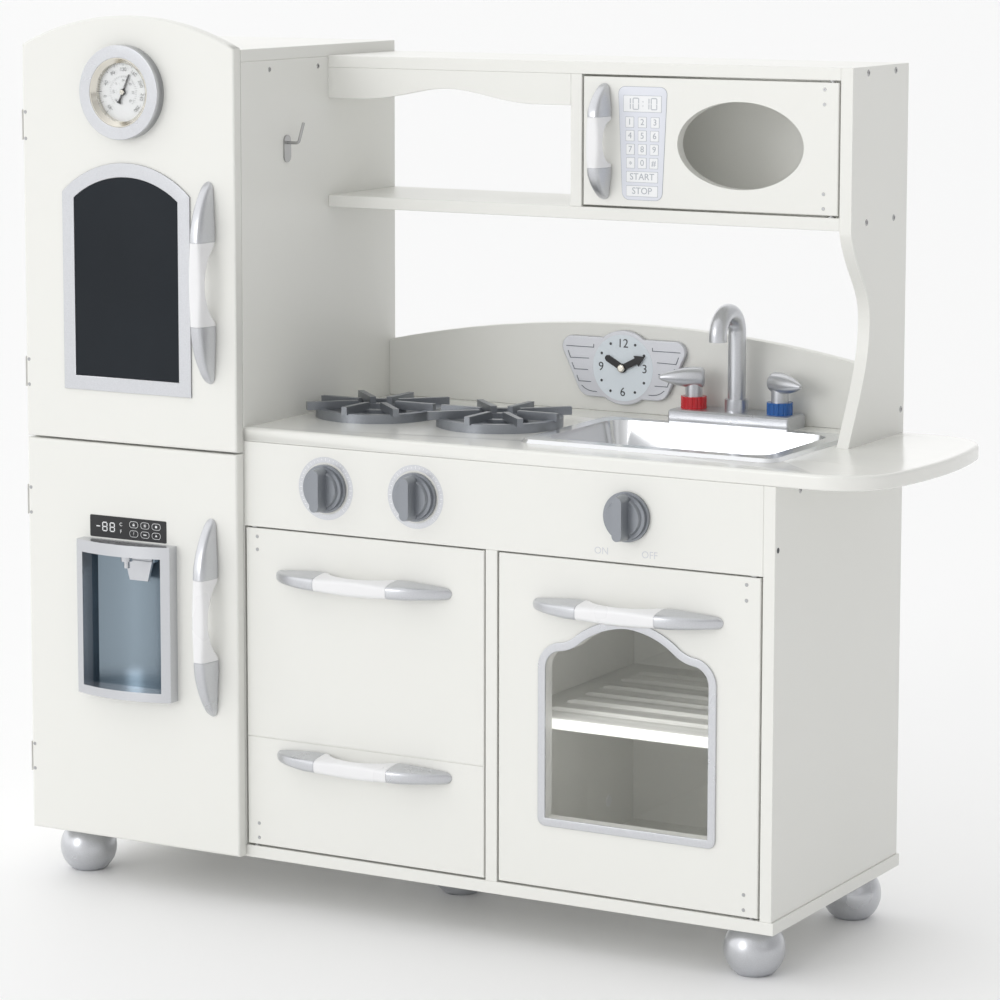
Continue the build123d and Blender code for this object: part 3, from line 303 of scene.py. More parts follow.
def sprayed(name, colour, smoothest, roughest, metallic=0.0, stipple=700.0, bump=0.05, coat=0.0, flakes=0.0):
    """A sprayed or moulded finish; flakes is the spread of a metallic paint's brightness."""
    material = bpy.data.materials.get(name)
    if material:
        return material
    material = bpy.data.materials.new(name)
    material.use_nodes = True
    material.diffuse_color = (*colour, 1)
    nodes, links = material.node_tree.nodes, material.node_tree.links
    shader = nodes["Principled BSDF"]
    shader.inputs["Base Color"].default_value = (*colour, 1)
    shader.inputs["Metallic"].default_value = metallic
    shader.inputs["Coat Weight"].default_value = coat
    shader.inputs["Coat Roughness"].default_value = 0.25
    surface = nodes.new("ShaderNodeGroup")
    surface.node_tree = spray_group()
    surface.inputs["Stipple Scale"].default_value = stipple
    surface.inputs["Smoothest"].default_value = smoothest
    surface.inputs["Roughest"].default_value = roughest
    relief = nodes.new("ShaderNodeBump")
    relief.inputs["Strength"].default_value = bump
    relief.inputs["Distance"].default_value = 0.1 * MM
    links.new(surface.outputs["Roughness"], shader.inputs["Roughness"])
    links.new(surface.outputs["Height"], relief.inputs["Height"])
    links.new(relief.outputs["Normal"], shader.inputs["Normal"])
    if flakes:
        sparkle = nodes.new("ShaderNodeGroup")
        sparkle.node_tree = flake_group()
        sparkle.inputs["Dark"].default_value = (*[part * (1 - flakes) for part in colour], 1)
        sparkle.inputs["Light"].default_value = (*[min(1.0, part * (1 + flakes)) for part in colour], 1)
        links.new(sparkle.outputs["Color"], shader.inputs["Base Color"])
    return material


def ivory_paint():
    return sprayed("ivory paint", bpy.context.scene.kitchen_paint.ivory, 0.30, 0.42, stipple=420, bump=0.06)


def worktop_paint():
    return sprayed("worktop paint", bpy.context.scene.kitchen_paint.ivory, 0.14, 0.22, stipple=420,
                   bump=0.02, coat=0.5)


def silver_paint():
    return sprayed("silver paint", bpy.context.scene.kitchen_paint.silver, 0.24, 0.34, metallic=0.85,
                   bump=0.03, flakes=0.15)


def grip_plastic():
    return sprayed("grip plastic", bpy.context.scene.kitchen_paint.grip, 0.24, 0.34, bump=0.02)


def graphite_plastic():
    return sprayed("graphite plastic", bpy.context.scene.kitchen_paint.graphite, 0.30, 0.42, metallic=0.7,
                   bump=0.05, flakes=0.12)


def bright_steel():
    return sprayed("bright steel", (0.46, 0.46, 0.46), 0.22, 0.36, metallic=1.0, bump=0.03)


def polished_metal():
    return sprayed("polished metal", (0.72, 0.69, 0.62), 0.10, 0.20, metallic=1.0, bump=0.01)


def black_plastic():
    return sprayed("black plastic", (0.012, 0.012, 0.014), 0.28, 0.40, bump=0.02)


def grey_plastic():
    return sprayed("grey plastic", (0.30, 0.33, 0.36), 0.35, 0.45, bump=0.03)


def red_plastic():
    return sprayed("red plastic", bpy.context.scene.kitchen_paint.hot, 0.20, 0.30, bump=0.02, coat=0.3)


def blue_plastic():
    return sprayed("blue plastic", bpy.context.scene.kitchen_paint.cold, 0.20, 0.30, bump=0.02, coat=0.3)


def pale_silver():
    return sprayed("pale silver", (0.64, 0.65, 0.69), 0.32, 0.42, metallic=0.35, bump=0.03, flakes=0.10)


def sink_steel():
    return sprayed("sink steel", (0.76, 0.77, 0.785), 0.14, 0.24, metallic=1.0, bump=0.02)


# Dark strokes that paint the shade of the clock's wing grooves.
def groove_shade_paint():
    return sprayed("groove shade paint", (0.10, 0.12, 0.14), 0.40, 0.50, bump=0.01)


def white_print():
    return sprayed("white print", (0.84, 0.85, 0.86), 0.40, 0.50, bump=0.01)


def dial_print():
    return sprayed("dial print", (0.72, 0.78, 0.83), 0.35, 0.45, bump=0.01)


# Grey for printed marks, and for the painted shade in the door screws' slots.
def grey_print_and_shade():
    return sprayed("grey print and shade", (0.42, 0.44, 0.48), 0.40, 0.50, bump=0.01)


# Dark for printed marks, and for the painted shade in screw slots and a hole.
def dark_print_and_shade():
    return sprayed("dark print and shade", (0.035, 0.037, 0.042), 0.40, 0.50, bump=0.01)


def slate_paint():
    """Chalkboard paint with a faint trace of wiped chalk."""
    material = bpy.data.materials.get("slate paint")
    if material:
        return material
    slate = bpy.context.scene.kitchen_paint.slate
    material = sprayed("slate paint", slate, 0.55, 0.70, stipple=900, bump=0.10)
    nodes, links = material.node_tree.nodes, material.node_tree.links
    nodes["Principled BSDF"].inputs["Specular IOR Level"].default_value = 0.22
    where = nodes.new("ShaderNodeTexCoord")
    haze = nodes.new("ShaderNodeTexNoise")
    haze.inputs["Scale"].default_value = 9.0
    haze.inputs["Detail"].default_value = 5.0
    blend = nodes.new("ShaderNodeMix")
    blend.data_type = "RGBA"
    blend.inputs["A"].default_value = (*slate, 1)
    blend.inputs["B"].default_value = (*[part * 1.5 for part in slate], 1)
    links.new(where.outputs["Object"], haze.inputs["Vector"])
    links.new(haze.outputs["Fac"], blend.inputs["Factor"])
    links.new(blend.outputs["Result"], nodes["Principled BSDF"].inputs["Base Color"])
    return material


def dispenser_paint_and_shade():
    """Silver on the frame, and a darker blue grey painted shade in the hollow behind it."""
    material = bpy.data.materials.get("dispenser paint and shade")
    if material:
        return material
    paint = bpy.context.scene.kitchen_paint
    material = sprayed("dispenser paint and shade", paint.silver, 0.20, 0.30, metallic=0.85, bump=0.02)
    nodes, links = material.node_tree.nodes, material.node_tree.links
    where = nodes.new("ShaderNodeTexCoord")
    parts = nodes.new("ShaderNodeSeparateXYZ")
    # Painted shade: past the front of the door the silver turns into the darker blue grey of the hollow.
    depth = nodes.new("ShaderNodeMapRange")
    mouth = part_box("fridge_lower_door")[0].y
    depth.inputs["From Min"].default_value = mouth - 0.2 * MM
    depth.inputs["From Max"].default_value = mouth + 0.8 * MM
    blend = nodes.new("ShaderNodeMix")
    blend.data_type = "RGBA"
    blend.inputs["A"].default_value = (*paint.silver, 1)
    blend.inputs["B"].default_value = (*paint.hollow_shade, 1)
    links.new(where.outputs["Object"], parts.inputs["Vector"])
    links.new(parts.outputs["Y"], depth.inputs["Value"])
    links.new(depth.outputs["Result"], blend.inputs["Factor"])
    links.new(blend.outputs["Result"], nodes["Principled BSDF"].inputs["Base Color"])
    return material


def keypad_film():
    return sprayed("keypad film", (0.72, 0.74, 0.80), 0.35, 0.45, bump=0.01)


def clear_pane():
    material = bpy.data.materials.get("clear pane")
    if material:
        return material
    material = bpy.data.materials.new("clear pane")
    material.use_nodes = True
    shader = material.node_tree.nodes["Principled BSDF"]
    shader.inputs["Base Color"].default_value = (0.97, 0.98, 0.96, 1)
    shader.inputs["Roughness"].default_value = 0.02
    shader.inputs["IOR"].default_value = 1.45
    shader.inputs["Transmission Weight"].default_value = 1.0
    shader.inputs["Alpha"].default_value = 0.2
    return material


FINISHES = {
    "ivory_paint": ivory_paint, "silver_painted_wood": silver_paint, "silver_plastic": silver_paint,
    "white_coated_steel": ivory_paint, "white_grip_plastic": grip_plastic,
    "graphite_plastic": graphite_plastic, "bright_steel": bright_steel,
    "polished_metal": polished_metal, "clear_pane": clear_pane, "black_plastic": black_plastic,
    "slate_paint": slate_paint, "grey_plastic": grey_plastic, "red_plastic": red_plastic,
    "blue_plastic": blue_plastic,
}
SPECIAL_FINISHES = {
    "dispenser_housing": dispenser_paint_and_shade, "clock_plate": pale_silver, "sink_basin": sink_steel,
    "dispenser_paddle": silver_paint, "worktop": worktop_paint,
}


# ---- settings ---------------------------------------------------------------------------------
def colour_setting(name, description, default):
    return FloatVectorProperty(name=name, description=description, default=default, subtype="COLOR",
                               min=0, max=1)


def length_setting(name, description, millimetres):
    return FloatProperty(name=name, description=description, default=millimetres * MM, unit="LENGTH", min=0)


class KitchenPaint(bpy.types.PropertyGroup):
    ivory: colour_setting("Ivory", "Colour of the painted boards", (0.80, 0.80, 0.765))
    silver: colour_setting("Silver", "Colour of the silver painted trim", (0.60, 0.61, 0.635))
    # Painted shade of the hollow of the water dispenser, not a paint of its own.
    hollow_shade: colour_setting("Recess", "Colour inside the water dispenser", (0.25, 0.31, 0.36))
    grip: colour_setting("Grip", "Colour of the handle grips", (0.82, 0.82, 0.83))
    graphite: colour_setting("Graphite", "Colour of the knobs and burners", (0.27, 0.285, 0.31))
    slate: colour_setting("Slate", "Colour of the chalkboard", (0.009, 0.012, 0.016))
    hot: colour_setting("Hot", "Colour of the hot tap's ring", (0.55, 0.012, 0.02))
    cold: colour_setting("Cold", "Colour of the cold tap's ring", (0.008, 0.10, 0.36))


class KitchenFittings(bpy.types.PropertyGroup):
    screw_radius: length_setting("Screw head", "Radius of the carcase screw heads", 3.3)
    door_screw_radius: length_setting("Door screw", "Radius of the screw heads on the doors", 1.9)
    dial_inner: length_setting("Dial inner radius", "Inner radius of the printed dial rings", 25.5)
    dial_outer: length_setting("Dial outer radius", "Outer radius of the printed dial rings", 30.8)
    # The wing grooves are not cut; dark strokes of this width paint their shade.
    groove: length_setting("Wing groove", "Width of the painted grooves on the clock", 0.7)
    handle_width: length_setting("Handle width", "Width of the bow handles", 20.0)
    handle_tip: length_setting("Handle tip", "Radius of the rounded ends of the handles", 6.5)


class KitchenStage(bpy.types.PropertyGroup):
    camera_place: FloatVectorProperty(name="Camera place", description="Where the camera stands",
                                      default=(1.7488, -3.1061, 0.9871), subtype="TRANSLATION", unit="LENGTH")
    azimuth: FloatProperty(name="Azimuth", description="Turn of the view to the left of straight on",
                           default=math.radians(29.92), subtype="ANGLE")
    pitch: FloatProperty(name="Pitch", description="Tilt of the view below the horizon",
                         default=math.radians(7.41), subtype="ANGLE")
    lens: FloatProperty(name="Lens", description="Focal length in millimetres", default=132.6, min=10)
    floor_size: FloatProperty(name="Floor size", description="Side of the square floor", default=400.0,
                              unit="LENGTH")
    key_power: FloatProperty(name="Key power", description="Power of the main soft light", default=75.0,
                             unit="POWER")
    fill_power: FloatProperty(name="Fill power", description="Power of the light from the right", default=4.0,
                              unit="POWER")
    sky_left: FloatProperty(name="Light from the left", default=1.32, min=0,
                            description="Strength of the surroundings on the left")
    sky_right: FloatProperty(name="Light from the right", default=0.45, min=0,
                             description="Strength of the surroundings on the right")


# ---- handles ----------------------------------------------------------------------------------
GRIP_THICKNESS = 7 * MM
HANDLES = (
    # CAD node, its body, and how far the grip reaches from the middle, in millimetres
    ("upper_door_handle", "upper_door", 41), ("lower_door_handle", "lower_door", 41),
    ("microwave_handle", "microwave", 24.5), ("oven_handle", "oven", 41),
    ("cupboard_handles", "cupboard", 41),
)


def handle_stations(half, shoulder, reach, width, tip):
    """Along, half width, back and front of each section, from one end to the other."""
    arch = reach - GRIP_THICKNESS
    foot = shoulder - 3 * MM
    radius = (foot ** 2 + arch ** 2) / (2 * arch)

    def cap(along):
        inward = half - along
        if inward < tip:
            side = math.sqrt(max(tip ** 2 - (tip - inward) ** 2, 0))
        else:
            share = (inward - tip) / (half - shoulder - tip)
            side = tip + (width / 2 - tip) * min(1.0, 1.35 * share) ** 0.8
        rest = (along - shoulder) / (half - shoulder)
        front = reach * (1 - rest ** 1.8) ** 0.75
        return along, side, 0.0, front

    steps = 14
    caps = [cap(shoulder + (half - shoulder) * math.sin(math.radians(90 * i / steps))) for i in range(steps)]
    caps.append((half - 0.05 * MM, 0.7 * MM, 0.0, 0.8 * MM))
    seam = []
    for past, shrink in ((0.35, 1.0), (0.15, 0.95), (-0.15, 0.95)):
        along = shoulder + past * MM
        seam.append((along, width / 2 * shrink, 0.0, reach - (1 - shrink) * 10 * MM))
    grip = []
    count = 9
    for i in range(count + 1):
        along = (shoulder - 0.35 * MM) * (1 - i / count)
        back = arch - (radius - math.sqrt(radius ** 2 - along ** 2)) if along < foot else 0.0
        grip.append((along, width / 2 * (1 - 0.04 * (1 - along / shoulder)), max(back, 0.0), reach))
    half_side = list(reversed(caps[1:])) + seam + grip
    other_side = [(-along, side, back, front) for along, side, back, front in reversed(half_side[:-1])]
    return half_side + other_side


def bow(bm, place, stations, shoulder, segments=40, squareness=4.5, narrowing=0.36):
    """A handle lofted through its sections: silver caps are material 0 and the grip is material 1."""
    start = list(bmesh.ops.create_circle(bm, cap_ends=False, segments=segments, radius=1)["verts"])
    for vert in start:
        turn = math.atan2(vert.co.y, vert.co.x)
        across = math.copysign(abs(math.cos(turn)) ** (2 / squareness), math.cos(turn))
        out = math.copysign(abs(math.sin(turn)) ** (2 / squareness), math.sin(turn))
        vert.co = (0, across * (1 - narrowing * (out + 1) / 2), out)
    along, side, back, front = stations[0]
    bmesh.ops.scale(bm, vec=(1, side, (front - back) / 2), verts=start)
    bmesh.ops.translate(bm, vec=(along, 0, (front + back) / 2), verts=start)
    ring = list({edge for vert in start for edge in vert.link_edges})
    bmesh.ops.edgeloop_fill(bm, edges=ring)
    last = stations[0]
    for station in stations[1:]:
        grown = bmesh.ops.extrude_edge_only(bm, edges=ring)
        verts = new_verts(grown)
        fresh = set(verts)
        ring = [item for item in grown["geom"]
                if isinstance(item, bmesh.types.BMEdge) and all(vert in fresh for vert in item.verts)]
        middle = (last[2] + last[3]) / 2
        stretch = (1, station[1] / last[1], (station[3] - station[2]) / (last[3] - last[2]))
        bmesh.ops.scale(bm, vec=stretch, space=Matrix.Translation((-last[0], 0, -middle)), verts=verts)
        step = (station[0] - last[0], 0, (station[2] + station[3]) / 2 - middle)
        bmesh.ops.translate(bm, vec=step, verts=verts)
        on_grip = abs(station[0] + last[0]) / 2 < shoulder
        for item in {face for vert in verts for face in vert.link_faces}:
            item.material_index = 1 if on_grip else 0
        last = station
    bmesh.ops.edgeloop_fill(bm, edges=ring)
    bmesh.ops.recalc_face_normals(bm, faces=list(bm.faces))
    bmesh.ops.transform(bm, matrix=place, verts=connected(start))


class KITCHEN_OT_handles(bpy.types.Operator):
    """Bow handles with silver caps and white grips"""
    bl_idname = "kitchen.handles"
    bl_label = "Handles"

    def execute(self, context):
        sizes = context.scene.kitchen_fittings
        for node, body, shoulder in HANDLES:
            low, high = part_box(node)
            upright = high.z - low.z > 1.5 * (high.x - low.x)
            reach = high.y - low.y
            length = high.z - low.z if upright else high.x - low.x
            levels = [(low.z + high.z) / 2]
            if node == "cupboard_handles":
                levels = [low.z + sizes.handle_width / 2, high.z - sizes.handle_width / 2]
            bm = bmesh.new()
            for level in levels:
                if upright:
                    place = on_front((low.x + high.x) / 2, high.y, level, math.radians(90))
                else:
                    place = on_front((low.x + high.x) / 2, high.y, level)
                stations = handle_stations(length / 2, shoulder * MM, reach, sizes.handle_width,
                                           sizes.handle_tip)
                loft = bmesh.new()
                bow(loft, place, stations, shoulder * MM)
                held = bpy.data.meshes.new("bow")
                loft.to_mesh(held)
                loft.free()
                bm.from_mesh(held)
                bpy.data.meshes.remove(held)
            add_piece(node.replace("handle", "bow"), bm, (silver_paint(), grip_plastic()), body,
                      50, (node,))
        return {"FINISHED"}


# ---- finishes of the CAD nodes ----------------------------------------------------------------
class KITCHEN_OT_finishes(bpy.types.Operator):
    """Paint, plastic and metal finishes, with eased edges"""
    bl_idname = "kitchen.finishes"
    bl_label = "Finishes"

    def execute(self, context):
        slots = {part["node"]: part["material_slot"] for part in frame["record"]["subparts"]}
        for node, piece in frame["nodes"].items():
            piece.data.materials.clear()
            finish = SPECIAL_FINISHES.get(node) or FINISHES[slots[node]]
            piece.data.materials.append(finish())
            if node in SOFT_EDGES or node in SMOOTH_NODES:
                piece.data.shade_smooth()
                weld = piece.modifiers.new("weld", "WELD")
                weld.merge_threshold = 0.01 * MM
                if node in SOFT_EDGES:
                    ease = piece.modifiers.new("eased edges", "BEVEL")
                    ease.width = SOFT_EDGES[node] * MM
                    ease.segments = 2
                    ease.limit_method = "ANGLE"
                    ease.angle_limit = math.radians(32)
                shading = piece.modifiers.new("shading", "WEIGHTED_NORMAL")
                shading.weight = 60
        return {"FINISHED"}


# ---- dials ------------------------------------------------------------------------------------
OUTER_FIGURES = 22.2 * MM    # from the middle of the thermometer's dial
INNER_FIGURES = 11.6 * MM
INNER_MARKS = 15.4 * MM


class KITCHEN_OT_thermometer(bpy.types.Operator):
    """White dial of the thermometer with two scales"""
    bl_idname = "kitchen.thermometer"
    bl_label = "Thermometer dial"

    def execute(self, context):
        middle = centre("thermometer_case")
        low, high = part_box("thermometer_case")
        face = high.y - 2 * MM
        spot = on_front(middle.x, face + BEDDED, middle.z)
        bm = bmesh.new()
        disc(bm, spot, (high.x - low.x) / 2 - 5.2 * MM, 0.25 * MM, segments=96)
        add_piece("thermometer_dial", bm, (white_print(),), "upper_door")
        face = on_front(middle.x, high.y - 2.2 * MM, middle.z)
        bm = bmesh.new()
        first, last, steps, inner_steps = -135, 135, 60, 36
        for i in range(steps + 1):
            angle = math.radians(90 - (first + (last - first) * i / steps))
            long = i % 5 == 0
            radius = (27.6 if long else 28.2) * MM
            place = face @ Matrix.Rotation(angle, 4, "Z") @ Matrix.Translation((radius, 0, 0))
            box_mark(bm, place, (3.4 if long else 2.0) * MM, (0.5 if long else 0.28) * MM, PRINT)
        for i in range(9):
            angle = math.radians(90 - (first + (last - first) * i / 8))
            at = Vector((math.cos(angle), math.sin(angle), 0)) * OUTER_FIGURES
            place = face @ Matrix.Translation(at) @ Matrix.Rotation(angle - math.pi / 2, 4, "Z")
            lettering(bm, str(i * 40 - 40), 5.2 * MM, place)
        for i in range(inner_steps + 1):
            angle = math.radians(90 - (first + (last - first) * i / inner_steps))
            place = face @ Matrix.Rotation(angle, 4, "Z") @ Matrix.Translation((INNER_MARKS, 0, 0))
            box_mark(bm, place, 1.8 * MM, 0.28 * MM, PRINT)
        for i in range(7):
            angle = math.radians(90 - (first + (last - first) * i / 6))
            at = Vector((math.cos(angle), math.sin(angle), 0)) * INNER_FIGURES
            place = face @ Matrix.Translation(at) @ Matrix.Rotation(angle - math.pi / 2, 4, "Z")
            lettering(bm, str(i * 20 - 40), 3.2 * MM, place)
        add_piece("thermometer_marks", bm, (dark_print_and_shade(),), "upper_door", 20)
        return {"FINISHED"}


# Points of the dark strokes on the clock's wings, in millimetres from the pin: a painted shade for grooves.
WING_GROOVE_SHADES = (
    ((-33, 22), (-33, 19), (-64, 19)),
    ((-62, 14), (-59.4, 7.2), (-38.5, 7.6)),
    ((-57.7, 2.3), (-54.9, -4.1), (-39.6, -4.1)),
    ((-52, -10.5), (-49.8, -16), (-36, -16)),
    ((-46.4, -20.3), (-42.5, -23.2), (-38.5, -24.8), (-34, -25.6), (-29.4, -25.7)),
)


class KITCHEN_OT_clock(bpy.types.Operator):
    """Dial, numbers and the painted shade of the winged grooves of the clock"""
    bl_idname = "kitchen.clock"
    bl_label = "Clock dial"

    def execute(self, context):
        pin = centre("clock_pin")
        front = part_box("clock_plate")[0].y
        face = on_front(pin.x, front + BEDDED, pin.z)
        bm = bmesh.new()
        disc(bm, face, 33.5 * MM, 0.2 * MM, segments=96)
        add_piece("clock_dial", bm, (dial_print(),), "carcase")
        # Painted shade of the wing grooves, drawn as raised dark strokes.
        bm = bmesh.new()
        for side in (1, -1):
            for line in WING_GROOVE_SHADES:
                points = [(side * x * MM, z * MM) for x, z in line]
                stroke(bm, points, face, context.scene.kitchen_fittings.groove, 0.25 * MM)
        add_piece("clock_wing_groove_shades", bm, (groove_shade_paint(),), "carcase", 20)
        dial = on_front(pin.x, front - 0.15 * MM, pin.z)
        bm = bmesh.new()
        for words, x, z in (("12", 0, 24.5), ("3", 24.5, 0), ("6", 0, -24.5), ("9", -24.5, 0)):
            lettering(bm, words, 12.5 * MM, dial @ Matrix.Translation((x * MM, z * MM, 0)))
        for hour in range(12):
            if hour % 3:
                angle = math.radians(30 * hour)
                at = Vector((math.cos(angle), math.sin(angle), 0)) * 27.5 * MM
                disc(bm, dial @ Matrix.Translation(at), 1.4 * MM, PRINT, segments=20)
        add_piece("clock_numbers", bm, (dark_print_and_shade(),), "carcase", 20)
        return {"FINISHED"}


class KITCHEN_OT_knob_dials(bpy.types.Operator):
    """Printed rings round the stove knobs and the words under the oven knob"""
    bl_idname = "kitchen.knob_dials"
    bl_label = "Knob dials"

    def execute(self, context):
        sizes = context.scene.kitchen_fittings
        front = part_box("control_panel")[0].y + BEDDED
        rings, marks = bmesh.new(), bmesh.new()
        for node in ("left_knob", "middle_knob"):
            middle = centre(node)
            face = on_front(middle.x, front, middle.z)
            annulus(rings, face, sizes.dial_inner, sizes.dial_outer, PRINT)
            raised = face @ Matrix.Translation((0, 0, PRINT))
            for i in range(31):
                angle = math.radians(225 - 9 * i)
                place = raised @ Matrix.Rotation(angle, 4, "Z") @ Matrix.Translation((28.2 * MM, 0, 0))
                box_mark(marks, place, (3.0 if i % 5 == 0 else 1.6) * MM, 0.5 * MM, PRINT / 2)
        add_piece("stove_dial_rings", rings, (silver_paint(),), "carcase")
        add_piece("stove_dial_marks", marks, (white_print(),), "carcase", 20)
        middle = centre("oven_knob")
        words = bmesh.new()
        for text, across in (("ON", -27 * MM), ("OFF", 23 * MM)):
            lettering(words, text, 9.5 * MM, on_front(middle.x + across, front, middle.z - 34.5 * MM))
        add_piece("oven_words", words, (silver_paint(),), "carcase", 20)
        return {"FINISHED"}


def outlined_key(keys, marks, place, width, height, line=0.35 * MM, corner=0.5 * MM):
    """A light key with a thin grey outline round it."""
    rounded_plate(marks, place, width, height, corner, 0.25 * MM)
    rounded_plate(keys, place, width - 2 * line, height - 2 * line, corner, 0.32 * MM)
    return place @ Matrix.Translation((0, 0, 0.31 * MM))


class KITCHEN_OT_keypad(bpy.types.Operator):
    """Keypad of the microwave with its display and keys"""
    bl_idname = "kitchen.keypad"
    bl_label = "Microwave keypad"

    def execute(self, context):
        low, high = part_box("microwave_door")
        x = low.x + 64 * MM
        z = (low.z + high.z) / 2 - 1 * MM
        face = on_front(x, low.y + BEDDED, z)
        border, plate, keys, marks = bmesh.new(), bmesh.new(), bmesh.new(), bmesh.new()
        rounded_plate(border, face, 52.8 * MM, 108.8 * MM, 7.2 * MM, 0.3 * MM, foot=42.8 / 52.8)
        rounded_plate(plate, face, 52 * MM, 108 * MM, 7 * MM, 0.5 * MM, foot=42 / 52, ease=0.1 * MM)
        top = face @ Matrix.Translation((0, 0, 0.5 * MM - BEDDED))

        def at(across, up):
            return top @ Matrix.Translation((across * MM, up * MM, 0))

        figures = outlined_key(keys, marks, at(0, 38), 41 * MM, 16 * MM)
        for row, names in enumerate((("1", "2", "3"), ("4", "5", "6"), ("7", "8", "9"), ("*", "0", "#"))):
            for column, name in enumerate(names):
                spot = at((column - 1) * (13.6 - 0.4 * row), 20.3 - row * 13)
                place = outlined_key(keys, marks, spot, 9.2 * MM, 10.4 * MM)
                sink = Matrix.Translation((0, -1.8 * MM if name == "*" else 0, 0))
                lettering(marks, name, 8.4 * MM, place @ sink)
        for name, up in (("START", -32.0), ("STOP", -45.6)):
            place = outlined_key(keys, marks, at(0, up), 34 * MM, 10.6 * MM)
            lettering(marks, name, 9.0 * MM, place)
        for digit, across in (("1", -16), ("0", -7.0), ("1", 4.0), ("0", 12.4)):
            spot = figures @ Matrix.Translation((across * MM, 0, 0))
            display_digit(marks, digit, spot, 6.0 * MM, 10.6 * MM, 0.8 * MM, PRINT)
        for up in (-2, 2):
            disc(marks, figures @ Matrix.Translation((0.6 * MM, up * MM, 0)), 0.5 * MM, PRINT, segments=12)
        add_piece("keypad_border", border, (grey_print_and_shade(),), "microwave")
        add_piece("keypad_plate", plate, (keypad_film(),), "microwave")
        add_piece("keypad_keys", keys, (white_print(),), "microwave", 20)
        add_piece("keypad_marks", marks, (grey_print_and_shade(),), "microwave", 20)
        return {"FINISHED"}


def display_symbol(bm, place, row, column):
    """Small generic sign on a key: a lock, a flake, a drop, a query, a bar or a bell."""
    if row > 0 and column == 0:
        box_mark(bm, place @ Matrix.Translation((0, -0.5 * MM, 0)), 2.4 * MM, 1.7 * MM, PRINT)
        annulus(bm, place @ Matrix.Translation((0, 0.5 * MM, 0)), 0.5 * MM, 0.9 * MM, PRINT, segments=16)
    elif row > 0 and column == 1:
        for turn in (0, 60, 120):
            box_mark(bm, place @ Matrix.Rotation(math.radians(turn), 4, "Z"), 3.4 * MM, 0.5 * MM, PRINT)
    elif row > 0:
        disc(bm, place, 1.3 * MM, PRINT, segments=20)
    elif column == 0:
        lettering(bm, "?", 4.4 * MM, place)
    elif column == 1:
        box_mark(bm, place, 3.6 * MM, 1.2 * MM, PRINT)
    else:
        disc(bm, place, 1.6 * MM, PRINT, segments=3)


class KITCHEN_OT_display(bpy.types.Operator):
    """Black display over the water dispenser"""
    bl_idname = "kitchen.display"
    bl_label = "Dispenser display"

    def execute(self, context):
        low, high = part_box("dispenser_housing")
        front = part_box("fridge_lower_door")[0].y + BEDDED
        face = on_front((low.x + high.x) / 2 - 2 * MM, front, high.z + 12.4 * MM)
        plate, marks = bmesh.new(), bmesh.new()
        rounded_plate(plate, face, 92 * MM, 22 * MM, 1.5 * MM, 0.5 * MM)
        top = face @ Matrix.Translation((0, 0, 0.5 * MM - BEDDED))
        for digit, across in (("-", -36), ("8", -28), ("8", -19)):
            place = top @ Matrix.Translation((across * MM, 0, 0))
            display_digit(marks, digit, place, 5.2 * MM, 8.5 * MM, 1.1 * MM, PRINT)
        for up, words in ((3.6, "C"), (-3.6, "F")):
            lettering(marks, words, 5 * MM, top @ Matrix.Translation((-8.5 * MM, up * MM, 0)))
        for row in (-1, 1):
            for column in range(3):
                spot = top @ Matrix.Translation(((7 + column * 13.5) * MM, row * 4.6 * MM, 0))
                rounded_plate(marks, spot, 10.4 * MM, 6.6 * MM, 2.9 * MM, 0.1 * MM)
                rounded_plate(plate, spot, 9.6 * MM, 5.8 * MM, 2.6 * MM, 0.14 * MM)
                display_symbol(marks, spot @ Matrix.Translation((0, 0, 0.12 * MM)), row, column)
        add_piece("display_plate", plate, (black_plastic(),), "lower_door")
        add_piece("display_marks", marks, (white_print(),), "lower_door", 20)
        return {"FINISHED"}


# ---- screws -----------------------------------------------------------------------------------
def screw(heads, slots, place, radius):
    """A countersunk head with a crossed slot, drawn as thin dark bars that paint the slot's shade."""
    disc(heads, place, radius, 0.5 * MM, radius * 0.8, segments=20)
    raised = place @ Matrix.Translation((0, 0, 0.45 * MM))
    for turn in (45, 135):
        spot = raised @ Matrix.Rotation(math.radians(turn), 4, "Z")
        box_mark(slots, spot, radius * 1.1, radius * 0.22, 0.08 * MM)


